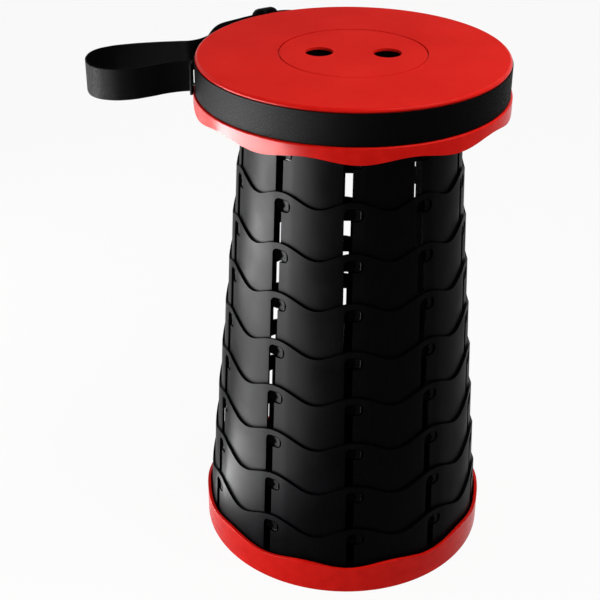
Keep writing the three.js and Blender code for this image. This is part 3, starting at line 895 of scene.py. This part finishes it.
def strap_weave(angle):
    """How far the strap steps outwards to pass over the slider's middle bar."""
    off = abs(angle - SLIDER_ANGLE)
    bar = SLIDER_BAR / SLIDER_RADIUS / 2
    side = SLIDER_SPAN / 2 - SLIDER_SIDE / SLIDER_RADIUS
    return 2 * WEAVE_STEP * (1 - ease(off, bar, side))


def strap_path_point(angle):
    """The strap's place, lift and lean: loose at the slider, flat on the rim elsewhere."""
    loose, back = strap_loose(angle)
    bow = math.sin(math.pi * (1 - (1 - back) ** 1.5))
    place = around(strap_radius(angle) + strap_weave(angle), angle)
    lean = WEB_LEAN * loose + BOW_LEAN * bow
    return (place.x, place.y, WEB_LIFT * loose + WEB_BOW * bow, lean)


strap_path = [
    strap_path_point(2 * math.pi * i / STRAP_STEPS - math.pi) for i in range(STRAP_STEPS + 1)
]
strap = webbing("strap_webbing", strap_path)

# %% [markdown]
# The carry loop comes back to the strap in front and turns sharply to run a little way beside it.
# Its end is folded once, and a short tack joins this hem to the strap, so that daylight shows above
# and below the tack. From there the band swings out to the left and comes back to be sewn flat on
# the strap. The wide part of its path is a smooth curve through a few points. The hem and the sharp
# turn are given point by point.

# %% The carry loop
HEM_X = -126.4 * MM  # middle of the hem's inner layer
HEM_FRONT = -26.4 * MM
HEM_TURN = -19 * MM
HEM_FOLD = 0.64 * MM  # radius of the fold, to the middle of the webbing
HEM_TAIL = 5 * MM
TURN_RADIUS = 1.7 * MM
ARC_STEPS = 6
TACK_SIDES = 12
TACK_ROUND = 0.4 * MM
TACK_PILLOW = 0.3 * MM
TACK_HEIGHT = 2.4 * MM
TACK_LOW = 4.2 * MM  # below the webbing's middle
TACK_INSET = 1 * MM  # behind the hem's front
LOOP_REACH = 83.2 * MM
LOOP_SPREAD = 44 * MM
LOOP_ROOT_GAP = 1.8 * MM
WEB_GAP = 0.4 * MM
STRAP_OUTSIDE = STRAP_INSIDE + WEB_THICKNESS
LOOP_SHARES = (
    (0.09, -0.44), (0.21, -0.54), (0.38, -0.75), (0.56, -0.92), (0.74, -0.95),
    (0.89, -0.82), (0.98, -0.52), (1, -0.23), (0.96, 0.07), (0.84, 0.3), (0.66, 0.46),
    (0.42, 0.59), (0.18, 0.68), (0.06, 0.73),
)
SEAM_SHARES = (0.115, 0.145, 0.175, 0.205)
LOOP_STEPS = 150


def curve_through(points, count):
    """Evenly spaced points on a smooth curve through given points, as (x, y) pairs."""
    guide = add(bpy.ops.curve.primitive_bezier_curve_add, "guide")
    spline = guide.data.splines[0]
    spline.bezier_points.add(len(points) - 2)
    for knot, (x, y) in zip(spline.bezier_points, points):
        knot.co = (x, y, 0)
        knot.handle_left_type = knot.handle_right_type = "AUTO"
    guide.data.resolution_u = 24
    bpy.ops.object.convert(target="MESH")
    line = [guide.matrix_world @ vertex.co for vertex in bpy.context.object.data.vertices]
    bpy.data.objects.remove(bpy.context.object)
    lengths = path_lengths(line)
    even = []
    reached = 0
    for i in range(count + 1):
        wanted = lengths[-1] * i / count
        while reached < len(line) - 2 and lengths[reached + 1] < wanted:
            reached += 1
        share = (wanted - lengths[reached]) / (lengths[reached + 1] - lengths[reached])
        place = line[reached].lerp(line[reached + 1], share)
        even.append((place.x, place.y))
    return even


tail_x = HEM_X - 2 * HEM_FOLD
hem_path = [(tail_x, HEM_FRONT + HEM_TAIL * share) for share in (1, 0.66, 0.33)]
hem_path += arc(HEM_X - HEM_FOLD, HEM_FRONT, HEM_FOLD, -180, 0, ARC_STEPS)
hem_path += [(HEM_X, HEM_FRONT + (HEM_TURN - HEM_FRONT) * share) for share in (0.3, 0.6, 0.85)]
hem_path += arc(HEM_X - TURN_RADIUS, HEM_TURN, TURN_RADIUS, 0, 100, ARC_STEPS)
loop_root = STRAP_OUTSIDE + LOOP_ROOT_GAP
loop_points = [
    hem_path[-1],
    *((-loop_root - out * LOOP_REACH, along * LOOP_SPREAD) for out, along in LOOP_SHARES),
]
for share in SEAM_SHARES:
    angle = -math.pi / 2 - share * math.pi
    place = around(strap_radius(angle) + WEB_THICKNESS + WEB_GAP, angle)
    loop_points.append((place.x, place.y))
loop_path = curve_through(loop_points, LOOP_STEPS)
loop_path = [(*place, 0, 0) for place in hem_path + loop_path[1:]]
loop = webbing("carry_loop_webbing", loop_path)

strap_face = -math.sqrt(STRAP_OUTSIDE**2 - HEM_FRONT**2)
tack_middle = (strap_face + HEM_X) / 2
tack_place = (tack_middle, HEM_FRONT + TACK_INSET, WEB_LOW + WEB_WIDTH / 2 - TACK_LOW)
tack_length = strap_face - HEM_X + WEB_THICKNESS
tack = add_cylinder(
    "loop_tack", TACK_SIDES, TACK_HEIGHT / 2, tack_length, tack_place, (0, math.pi / 2, 0)
)
settle(tack)
open_mesh(tack)
for end in (-1, 1):
    pick(tack, lambda co: end * (co.x - tack_middle) > 0)
    bpy.ops.mesh.select_mode(type="FACE")
    bpy.ops.mesh.inset(thickness=TACK_ROUND, depth=TACK_PILLOW)
    bpy.ops.mesh.select_mode(type="VERT")
close_mesh()
smooth(tack, 50)

# %% [markdown]
# The slider is a moulded buckle with two windows and round shoulders. It starts as a flat face with
# rounded corners that is given its thickness. The windows are cut, the edges are rounded, and the
# plate is bent to the seat's curve.

# %% The slider
SLIDER_CORNER = 7.5 * MM
WINDOW_CORNER = 1.2 * MM
SLIDER_EDGE = 0.8 * MM
SLIDER_CUTS = 13  # slices that let the plate bend


def rounded_plate(name, middle, length, height, corner, steps, depth):
    """An upright plate with round corners, centred on the plane y = 0."""
    half = height / 2
    plate = upright_plane(name, middle - length / 2, middle + length / 2, -half, half, depth / 2)
    open_mesh(plate)
    pick_all()
    round_corners(corner, steps)
    pull_out(depth)
    close_mesh()
    return plate


slider = rounded_plate(
    "slider_moulding", 0, SLIDER_LENGTH, SLIDER_HEIGHT, SLIDER_CORNER, 8, SLIDER_THICKNESS
)
window = (SLIDER_LENGTH - SLIDER_BAR - 2 * SLIDER_SIDE) / 2
for side in (-1, 1):
    middle = side * (SLIDER_BAR + window) / 2
    hole = rounded_plate(
        "slider_window", middle, window, SLIDER_WINDOW, WINDOW_CORNER, 3, 4 * SLIDER_THICKNESS
    )
    subtract(slider, hole)
open_mesh(slider)
for i in range(1, SLIDER_CUTS):
    slice_at((SLIDER_LENGTH * (i / SLIDER_CUTS - 0.5), 0, 0), (1, 0, 0))
close_mesh()
round_edges(slider, SLIDER_EDGE, segments=3, degrees=60)
modify(slider, "SIMPLE_DEFORM", deform_method="BEND", deform_axis="Z", angle=SLIDER_SPAN)
slider.location = around(SLIDER_RADIUS, SLIDER_ANGLE, WEB_LOW + WEB_WIDTH / 2)
slider.rotation_euler = (math.atan(WEB_LEAN / WEB_WIDTH), 0, SLIDER_ANGLE)
settle(slider)
smooth(slider, 50)

# %% [markdown]
# The hem and the seam at the loop's back end are sewn with a thick black thread. One stitch is a
# short rod of thread with pinched ends. It is modelled once, and each copy gets its place and its
# direction on the webbing.

# %% The stitches
STITCH_LENGTH = 2.5 * MM
STITCH_PITCH = 3.1 * MM
THREAD_RADIUS = 0.33 * MM
SEAM_INSET = 2.6 * MM  # from the webbing's edge to the first stitch
HEM_ROWS = (5 * MM, 8 * MM)  # from the sharp turn
SEAM_ENDS_MM = (3, 27)  # the back seam's ends, from the loop's back end
SEAM_STEP_MM = 6  # its long sides follow the curve in straight steps
THREAD_SIDES = 8

stitch = add_cylinder("loop_stitches", THREAD_SIDES, THREAD_RADIUS, STITCH_LENGTH, ORIGIN)
open_mesh(stitch)
for end in (-1, 1):
    pick(stitch, lambda co: end * co.z > 0)
    bpy.ops.mesh.extrude_region_move(
        TRANSFORM_OT_translate={"value": (0, 0, end * THREAD_RADIUS / 2)}
    )
    grow(0.5, centre=(0, 0, end * STITCH_LENGTH / 2))
close_mesh()
smooth(stitch, 60)
stitch_places = []


def copy_of(pattern, place):
    """A copy of a piece with a mesh of its own, moved by a matrix."""
    copy = pattern.copy()
    copy.data = pattern.data.copy()
    bpy.context.collection.objects.link(copy)
    copy.data.transform(place)
    return copy


def seam(start, end):
    """Places of stitches between two points of the loop's face, as (distance, height)."""
    (start, outward), (end, _) = on_loop(*start), on_loop(*end)
    count = round((end - start).length / STITCH_PITCH)
    along = (end - start).normalized()
    turn_to = Matrix((outward.cross(along), outward, along)).transposed().to_4x4()
    for i in range(count):
        place = start.lerp(end, (i + 0.5) / count)
        stitch_places.append(Matrix.Translation(place) @ turn_to)


def on_loop(distance, height):
    """A point on the loop's outer face, so far from the sharp turn, and the way the face looks."""
    for one, other in zip(outer_layer, outer_layer[1:]):
        step = math.dist(one[:2], other[:2])
        if distance <= step:
            break
        distance -= step
    ahead = (Vector(other[:2]) - Vector(one[:2])).normalized()
    outward = Vector((ahead.y, -ahead.x, 0))
    flat = Vector(one[:2]) + ahead * distance
    face = Vector((*flat, height)) + outward * (WEB_THICKNESS / 2 + THREAD_RADIUS / 4)
    return face, outward


seam_low, seam_high = WEB_LOW + SEAM_INSET, WEB_LOW + WEB_WIDTH - SEAM_INSET
outer_layer = loop_path[len(loop_path) - LOOP_STEPS - 1:]
loop_length = path_lengths(outer_layer)[-1]
for distance in (*HEM_ROWS, *(loop_length - end * MM for end in SEAM_ENDS_MM)):
    seam((distance, seam_low), (distance, seam_high))
for height in (seam_low, seam_high):
    for far in range(SEAM_ENDS_MM[1], SEAM_ENDS_MM[0], -SEAM_STEP_MM):
        start, end = (loop_length - d * MM for d in (far, far - SEAM_STEP_MM))
        seam((start, height), (end, height))
copies = [copy_of(stitch, place) for place in stitch_places]
bpy.ops.object.select_all(action="DESELECT")
for copy in copies:
    copy.select_set(True)
bpy.context.view_layer.objects.active = copies[0]
bpy.ops.object.join()
stitches = name_new("loop_stitches")
bpy.data.objects.remove(stitch)
print(len(stitch_places), "stitches")

# %% [markdown]
# Eleven pan-head screws hold the collar under the seat and the base under the outermost ring. The
# head is a low dome with a cross recess. One screw of each length is turned about its own axis, and
# its copies go where the CAD model has them.

# %% The screws
SHANK_RADIUS = 1.25 * MM
CROSS_LENGTH = 3.6 * MM
CROSS_WIDTH = 0.9 * MM
CROSS_DEPTH = 1.1 * MM
SCREW_SIDES = 24
DOME_SHARE = 0.75  # of the head's height
THREAD_STEP = 0.45 * MM
THREAD_CORE = 0.82  # of the shank's radius


def screw_piece(name, length):
    """A screw whose head's lowest point is at the origin and whose shank points up."""
    dome = [
        (SCREW_HEAD_RADIUS * math.sin(a), SCREW_HEAD * DOME_SHARE * (1 - math.cos(a)))
        for a in (i * math.pi / 16 for i in range(1, 9))
    ]
    groove = [
        (SHANK_RADIUS * (1 if i % 2 else THREAD_CORE), SCREW_HEAD + (i + 1) * THREAD_STEP)
        for i in range(int((length - SCREW_HEAD - SHANK_RADIUS) / THREAD_STEP))
    ]
    profile = [(0, 0), *dome, (SCREW_HEAD_RADIUS, SCREW_HEAD), (SHANK_RADIUS, SCREW_HEAD)]
    piece = turn(name, [*profile, *groove, (0, length)], columns=SCREW_SIDES)
    for turned in (0, math.pi / 2):
        bit = add(
            bpy.ops.mesh.primitive_cube_add, "bit",
            size=1, location=ORIGIN, rotation=(0, 0, turned),
        )
        bit.scale = (CROSS_LENGTH, CROSS_WIDTH, 2 * CROSS_DEPTH)
        settle(bit)
        subtract(piece, bit)
    smooth(piece, 40)
    return piece


screws = []
for group, count, body in (("collar", COLLAR_SCREWS, "seat"), ("base", BASE_SCREWS, "base")):
    low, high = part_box(f"{group}_screw_1")
    pattern = screw_piece(f"{group}_screw_pattern", high[2] - low[2])
    for i in range(1, count + 1):
        low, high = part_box(f"{group}_screw_{i}")
        middle = ((low[0] + high[0]) / 2, (low[1] + high[1]) / 2, low[2])
        copy = copy_of(pattern, Matrix.Translation(middle))
        copy.name = f"{group}_pan_screw_{i}"
        screws.append((copy, f"{group}_screw_{i}", body))
    bpy.data.objects.remove(pattern)
print(len(screws), "screws")

# %% [markdown]
# Large flat faces next to thin rounded edges shade unevenly, because a plain average of normals
# lets the thin faces pull the large ones. The weighted normal modifier lets the large faces win,
# and keeps the edges that are marked sharp. Then every piece is hung on the body it moves with,
# and the CAD node that it stands for is hidden.

# %% Even shading and bodies
for piece in (seat, cap, base, collar, *rings):
    modify(piece, "WEIGHTED_NORMAL", keep_sharp=True)
for number, ring in enumerate(rings, 1):
    body = "base" if number == RING_COUNT else f"ring_{number}"
    keep(ring, f"ring_{number}", body)
keep(collar, "seat_collar", "seat")
keep(seat, "seat_shell", "seat")
keep(cap, "centre_cap", "seat")
keep(base, "base_cup", "base")
keep(strap, "rim_strap", "seat")
keep(loop, "carry_loop", "seat")
keep(slider, "strap_slider", "seat")
for sewn in (tack, stitches):
    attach(sewn, "seat")
for screw, node, body in screws:
    keep(screw, node, body)

# %% [markdown]
# Colours are written as sRGB hex values and turned to the linear values that shaders work in. One
# small function adds a node: a socket among its inputs is linked, and a plain value is set. The
# kinds of node that most finishes use get a short function each. It takes the tree from a socket,
# which knows where it belongs, and hands back the socket that the next node needs.

# %% Colours and nodes
def to_linear(code):
    """An sRGB hex colour as linear red, green, blue and alpha."""
    parts = [int(code[i:i + 2], 16) / 255 for i in (1, 3, 5)]
    return (*(c / 12.92 if c <= 0.04045 else ((c + 0.055) / 1.055) ** 2.4 for c in parts), 1)


def add_node(tree, kind, settings=None, **inputs):
    """Add a node with its settings. An input is named, or numbered as n0, n1 and so on."""
    node = tree.nodes.new(kind)
    for key, value in (settings or {}).items():
        setattr(node, key, value)
    for key, value in inputs.items():
        numbered = key[0] == "n" and key[1:].isdigit()
        socket = node.inputs[int(key[1:]) if numbered else key.replace("_", " ")]
        if isinstance(value, bpy.types.NodeSocket):
            tree.links.new(value, socket)
        else:
            socket.default_value = value
    return node


def new_finish(name):
    """An empty node material, and the socket that gives a point's place in metres."""
    finish = bpy.data.materials.new(name)
    finish.use_nodes = True
    finish.node_tree.nodes.clear()
    place = add_node(finish.node_tree, "ShaderNodeTexCoord")
    return finish, place.outputs["Object"]


def noise(place, scale, detail, **more):
    """A cloudy value around 0.5, with about this many clouds in a unit of place."""
    return add_node(
        place.id_data, "ShaderNodeTexNoise", Vector=place, Scale=scale, Detail=detail, **more
    ).outputs[0]


def stretched(place, scale):
    """A place whose axes are scaled, so that what reads it is drawn out along some of them."""
    return add_node(place.id_data, "ShaderNodeMapping", Vector=place, Scale=scale).outputs[0]


def calculate(operation, first, *others):
    tree, inputs = first.id_data, {f"n{i}": value for i, value in enumerate((first, *others))}
    return add_node(tree, "ShaderNodeMath", {"operation": operation}, **inputs).outputs[0]


def spread(value, source=(0, 1), target=(0, 1)):
    """Map a value from one range to another."""
    return add_node(
        value.id_data, "ShaderNodeMapRange", Value=value,
        From_Min=source[0], From_Max=source[1], To_Min=target[0], To_Max=target[1],
    ).outputs[0]


def two_tones(share, dark, light):
    """A colour between two hex colours."""
    return add_node(
        share.id_data, "ShaderNodeMix", {"data_type": "RGBA"},
        n0=share, n6=to_linear(dark), n7=to_linear(light),
    ).outputs[2]


def relief(height, strength, depth):
    """Fine relief, up to a depth in metres, as the normal that the shader reads."""
    return add_node(
        height.id_data, "ShaderNodeBump", Height=height, Strength=strength, Distance=depth
    ).outputs[0]


def mix_shaders(share, one, other):
    return add_node(
        one.id_data, "ShaderNodeMixShader", n0=share, n1=one.outputs[0], n2=other.outputs[0]
    )


def shade(colour, rough, **more):
    """Close a material with the principled shader."""
    inputs = {"Base_Color": colour, "Roughness": rough, **more}
    shader = add_node(colour.id_data, "ShaderNodeBsdfPrincipled", **inputs)
    add_node(colour.id_data, "ShaderNodeOutputMaterial", Surface=shader.outputs[0])


def dress(finish, *pieces):
    """Put a finish on pieces as their next material."""
    for piece in pieces:
        piece.data.materials.append(finish)
    print(finish.name, "on", len(pieces), "pieces")


print("red", [round(c, 3) for c in to_linear("#CC1A12")])

# %% [markdown]
# The floor is pale and matt. Camera rays and reflections also see it glow, so that the background
# comes out white while the shadow stays. The light that falls on the stool doesn't see the glow.
# The world does the same.

# %% Floor and world
WHITE = to_linear("#FFFFFF")
FLOOR_SIDE = 40
FLOOR_TONE = "#D4D4D2"
FLOOR_GLOW = 0.93
WORLD_LEVEL = 0.25


def seen_directly(tree):
    """1 for camera, glossy and transmission rays, and 0 for diffuse light."""
    rays = add_node(tree, "ShaderNodeLightPath")
    seen = rays.outputs["Is Camera Ray"]
    for kind in ("Is Glossy Ray", "Is Transmission Ray"):
        seen = calculate("MAXIMUM", seen, rays.outputs[kind])
    return seen


floor = add(bpy.ops.mesh.primitive_plane_add, "studio_floor", size=FLOOR_SIDE, location=ORIGIN)
floor_paint, place = new_finish("matt floor paint")
tree = place.id_data
matt = add_node(tree, "ShaderNodeBsdfDiffuse", Color=to_linear(FLOOR_TONE))
glow = add_node(tree, "ShaderNodeEmission", Color=WHITE, Strength=1)
white = mix_shaders(FLOOR_GLOW, matt, glow)
surface = mix_shaders(seen_directly(tree), matt, white)
add_node(tree, "ShaderNodeOutputMaterial", Surface=surface.outputs[0])
dress(floor_paint, floor)

world = bpy.data.worlds.new("studio")
bpy.context.scene.world = world
world.use_nodes = True
tree = world.node_tree
tree.nodes.clear()
dim = add_node(tree, "ShaderNodeBackground", Color=WHITE, Strength=WORLD_LEVEL)
bright = add_node(tree, "ShaderNodeBackground", Color=WHITE, Strength=1)
air = mix_shaders(seen_directly(tree), dim, bright)
add_node(tree, "ShaderNodeOutputWorld", Surface=air.outputs[0])
bpy.context.scene.view_settings.view_transform = "Standard"

# %% [markdown]
# Two soft boxes light the stool: a large one from above on the right and a lower one on the left. A
# narrow strip on the left, which reflections don't show, lifts the left side a little more. Red and
# black plastic show their shape by what they mirror, so two more panels lean back beside the stool
# on the left. They are seen in reflections only, and add nothing to the colours. The far one is the
# larger, and the near one is low and reaches the lowest walls. The strength of a panel is given as
# its radiance, which doesn't change with its size.

# %% Lamps
MIRROR_AIM = (0.5, 0, 0.87)


def soft_panel(name, place, aim, size, radiance, seen_by="all"):
    """A rectangular lamp that looks along a direction, with its width and its height."""
    bpy.ops.object.light_add(type="AREA", location=place)
    lamp = bpy.context.object
    lamp.name = name
    lamp.data.shape = "RECTANGLE"
    lamp.data.size, lamp.data.size_y = size
    lamp.data.energy = radiance * math.pi * size[0] * size[1]
    lamp.rotation_euler = Vector(aim).to_track_quat("-Z", "Y").to_euler()
    lamp.visible_camera = False
    lamp.visible_diffuse = seen_by != "mirrors"
    lamp.visible_glossy = seen_by != "matt"
    print(name, round(lamp.data.energy, 2), "W")


soft_panel("softbox_top", (0.5, -0.2, 1.15), (-0.5, 0.2, -0.7), (0.8, 0.8), 4.5)
soft_panel("softbox_left", (-0.62, -0.05, 0.25), (1, 0, 0), (1.3, 0.45), 2.4)
soft_panel("strip_left", (-0.24, -0.28, 0.3), (0.24, 0.28, 0), (0.1, 0.6), 2.6, "matt")
soft_panel("mirror_far", (-0.583, -0.22, 0.2425), MIRROR_AIM, (0.6, 0.51), 74, "mirrors")
soft_panel("mirror_near", (-0.262, -0.17, 0.059), MIRROR_AIM, (0.34, 0.225), 30, "mirrors")

# %% [markdown]
# The seat's top and the cap are moulded polypropylene with a fine sand-like grain from the mould.
# The eye sees a deep, even red with hardly a reflection, because the grain scatters what would be
# mirrored. So the specular level is low and the roughness high. The grain is about 0.4 mm on the
# real thing and is drawn at 0.9 mm, so that it shows. The colour drifts a little, as it does where
# pigment and polymer were mixed on the press, and faint rubbing changes the roughness.

# %% Grained polypropylene, red
GRAIN_MM = 0.9
PER_METRE = 1000

grained_red, place = new_finish("grained moulded polypropylene red")
grain = noise(place, PER_METRE / GRAIN_MM, 3, Roughness=0.6)
drift = noise(place, 14, 2)
speckle = calculate("MULTIPLY_ADD", grain, 0.45, drift)
colour = two_tones(spread(speckle, (0.5, 0.95)), "#C4170F", "#D32018")
rub = noise(place, 60, 6, Roughness=0.7, Distortion=1.5)
rough = spread(rub, target=(0.45, 0.65))
normal = relief(grain, 0.35, 0.12 * MM)
shade(colour, rough, Normal=normal, Specular_IOR_Level=0.015)
dress(grained_red, seat, cap)

# %% [markdown]
# The rim, the skirt and the base come from the same red plastic but from a polished part of the
# mould. The eye sees a clear bright reflection on the left, which ripples a little, because thick
# walls shrink as they cool. Fine handling scratches run round the part and widen the reflection.

# %% Polished polypropylene, red
RIPPLE_MM = 9
SCRATCH_MM = 0.6
TOP_DEPTH = 0.1 * MM  # the seat's faces this close to its top stay grained

polished_red, place = new_finish("polished moulded polypropylene red")
ripple = noise(place, PER_METRE / RIPPLE_MM, 1)
round_place = stretched(place, (0.04, 0.04, 1))
scratch = noise(round_place, PER_METRE / SCRATCH_MM, 3, Roughness=0.7)
colour = two_tones(spread(ripple, (0.3, 0.7)), "#C6120B", "#D01810")
rough = spread(scratch, target=(0.22, 0.31))
normal = relief(ripple, 0.2, 0.1 * MM)
shade(colour, rough, Normal=normal, Specular_IOR_Level=0.045)
dress(polished_red, base, seat)
for face in seat.data.polygons:
    face.material_index = 0 if face.center.z > SEAT_TOP - TOP_DEPTH else 1

# %% [markdown]
# The rings are moulded polypropylene, black all through, with a satin face. They slide in each
# other each time the stool is folded, and that leaves fine upright rub marks, a shade greyer and a
# little shinier than the rest. The marks are about 0.5 mm wide and are drawn at 0.8 mm. They are a
# noise that is stretched along the height.

# %% Satin polypropylene, black
RUB_MM = 0.8
RUB_STRETCH = 0.025

satin_black, place = new_finish("satin moulded polypropylene black")
tall_place = stretched(place, (1, 1, RUB_STRETCH))
rub = noise(tall_place, PER_METRE / RUB_MM, 4, Roughness=0.65)
marks = spread(rub, (0.52, 0.8))
cloud = noise(place, 35, 4)
worn = calculate("MULTIPLY", marks, cloud)
colour = two_tones(worn, "#020203", "#101014")
rough = spread(cloud, (0.3, 0.7), (0.34, 0.46))
fine = noise(place, PER_METRE / GRAIN_MM, 2)
height = calculate("MULTIPLY_ADD", marks, 0.6, fine)
normal = relief(height, 0.2, 0.06 * MM)
shade(colour, rough, Normal=normal, Specular_IOR_Level=0.014)
dress(satin_black, collar, *rings)

# %% [markdown]
# Inside a slot one sees the next ring's foot, in the shade between the walls. This finish paints
# that
# shade: a dull, darker black that mirrors nothing. The faces that slide behind the slots get this
# second finish.
# They lie on the flat lands, below the next ring's slot tops. In the photograph the base's floor,
# which shows through the lowest slots, and the finger holes below their lip are as black, so they
# get it too.

# %% Painted shade, black
SHADE_CLOUD_MM = 2.5
NEAR_FLOOR = 0.1 * MM
NEAR_HOLE = 0.2 * MM
NEAR_HIDDEN = 0.2 * MM
LAND_SINK = 0.8 * MM  # a land's face lies at most this far inside the round wall
LAND_RISE = 0.15 * MM
LAND_REACH = LAND_HALF + 2 * COLUMN

painted_shade_black, place = new_finish("painted shade black polypropylene")
shade_cloud = noise(place, PER_METRE / SHADE_CLOUD_MM, 5)
# painted shade: a dull, darker black with faint clouds, that mirrors nothing
colour = two_tones(shade_cloud, "#020202", "#070708")
shade(colour, spread(shade_cloud, target=(0.8, 1)), Specular_IOR_Level=0)
dress(painted_shade_black, collar, *rings, base, cap)
# painted shade: the red base's floor, seen through the lowest slots, is painted black
for face in base.data.polygons:
    face.material_index = int(abs(face.center.z - FLOOR) < NEAR_FLOOR)
# painted shade: the finger holes are painted black below their lip
for face in cap.data.polygons:
    middle = face.center
    from_hole = math.hypot(abs(middle.x) - FINGER_SPACING / 2, middle.y)
    in_hole = abs(from_hole - FINGER_RADIUS) < NEAR_HOLE
    face.material_index = int(in_hole and middle.z < SEAT_TOP - FINGER_LIP)
# painted shade: the faces behind the slots are painted black
for number, ring in enumerate([collar, *rings]):
    crest = COLLAR_CREST if number == 0 else ring_crest(number)
    hill = ring_twist(number) + CREST_SHIFT
    for face in ring.data.polygons:
        middle = face.center
        wall = ring_radius(number) + TAPER * (crest - middle.z)
        off_wall = math.hypot(middle.x, middle.y) - wall
        behind = middle.z < crest - HIDDEN_BELOW + NEAR_HIDDEN
        on_land = abs(off_lobe(angle_of(middle), hill)) < LAND_REACH
        face.material_index = int(behind and on_land and -LAND_SINK < off_wall < LAND_RISE)
    print(ring.name, sum(face.material_index for face in ring.data.polygons), "faces with painted shade")

# %% [markdown]
# The strap and the loop are woven polyester webbing. Warp threads run along the band and weft
# threads across it, and where one passes over the other it makes a small knuckle. The eye sees dull
# black with a fine grey sparkle where light grazes the knuckles. A real thread is about 0.5 mm
# wide; here a knuckle is 1.2 by 0.9 mm, so that it shows. The pattern reads the UV map, which
# counts millimetres along and across the band: the product of two sine waves is a plain weave.

# %% Woven polyester
WARP_MM = 1.8  # two warp threads
WEFT_MM = 2.4  # two weft threads

woven_black, place = new_finish("woven polyester webbing black")
band_place = add_node(place.id_data, "ShaderNodeUVMap").outputs[0]
parts = add_node(place.id_data, "ShaderNodeSeparateXYZ", Vector=band_place)
weft, warp = (
    calculate("SINE", calculate("MULTIPLY", parts.outputs[part], 2 * math.pi / pitch))
    for part, pitch in (("X", WEFT_MM), ("Y", WARP_MM))
)
knuckle = calculate("MULTIPLY", weft, warp)
fibre = noise(band_place, 1.1, 4)
height = calculate("MULTIPLY_ADD", knuckle, 0.35, fibre)
# the knuckles' crowns are painted lighter than the hollows: painted highlight and shade, with the
# fibre noise as the thread's own tone
colour = two_tones(spread(height, (0.3, 0.9)), "#010101", "#08080A")
rough = spread(fibre, (0.35, 0.65), (0.22, 0.8))
normal = relief(height, 0.8, 0.35 * MM)
shade(colour, rough, Normal=normal, Specular_IOR_Level=0.012)
dress(woven_black, strap, loop)

# %% [markdown]
# The thread of the seams is twisted polyester. The twist shows as slanted ridges, about 1 mm apart.
# Their crests are painted lighter, a painted sheen that gives the thread a silky look beside the
# dull webbing.

# %% Twisted polyester thread
TWIST_MM = 1
WAVE_UNIT = 20 / math.pi  # a wave texture's scale for one wave in a unit

thread_black, place = new_finish("twisted polyester thread black")
tree = place.id_data
turned = add_node(tree, "ShaderNodeMapping", Vector=place, Rotation=(0, math.radians(35), 0))
twist = add_node(
    tree, "ShaderNodeTexWave", {"bands_direction": "Z"},
    Vector=turned.outputs[0], Scale=PER_METRE / TWIST_MM / WAVE_UNIT, Distortion=0.5,
).outputs[1]
# painted sheen: the ridges of the twist are painted lighter than its grooves
colour = two_tones(twist, "#050506", "#1A1A1D")
normal = relief(twist, 0.6, 0.1 * MM)
shade(colour, 0.45, Normal=normal, Specular_IOR_Level=0.1)
dress(thread_black, tack, stitches)

# %% [markdown]
# The slider is moulded acetal, a hard plastic that leaves the mould glossy and slides well on
# webbing. It gives a sharp small highlight along its rounded edge, dulled where the webbing rubs.

# %% Moulded acetal
RUB_CLOUD_MM = 3

glossy_black, place = new_finish("moulded acetal black")
rub = noise(place, PER_METRE / RUB_CLOUD_MM, 5)
colour = two_tones(rub, "#040405", "#0B0B0C")
rough = spread(rub, target=(0.12, 0.34))
normal = relief(rub, 0.1, 0.05 * MM)
shade(colour, rough, Normal=normal, Specular_IOR_Level=0.08)
dress(glossy_black, slider)

# %% [markdown]
# The screws are steel with a bright zinc plating. A metal mirrors in its own colour, and zinc is a
# cool light grey. The plating bath leaves soft clouds in its gloss.

# %% Zinc-plated steel
PLATING_MM = 2

plated_steel, place = new_finish("zinc plated steel")
cloud = noise(place, PER_METRE / PLATING_MM, 4)
colour = two_tones(cloud, "#A9ADB2", "#CFD3D6")
rough = spread(cloud, target=(0.2, 0.42))
shade(colour, rough, Metallic=1, Normal=relief(cloud, 0.15, 0.04 * MM))
dress(plated_steel, *(screw for screw, _, _ in screws))
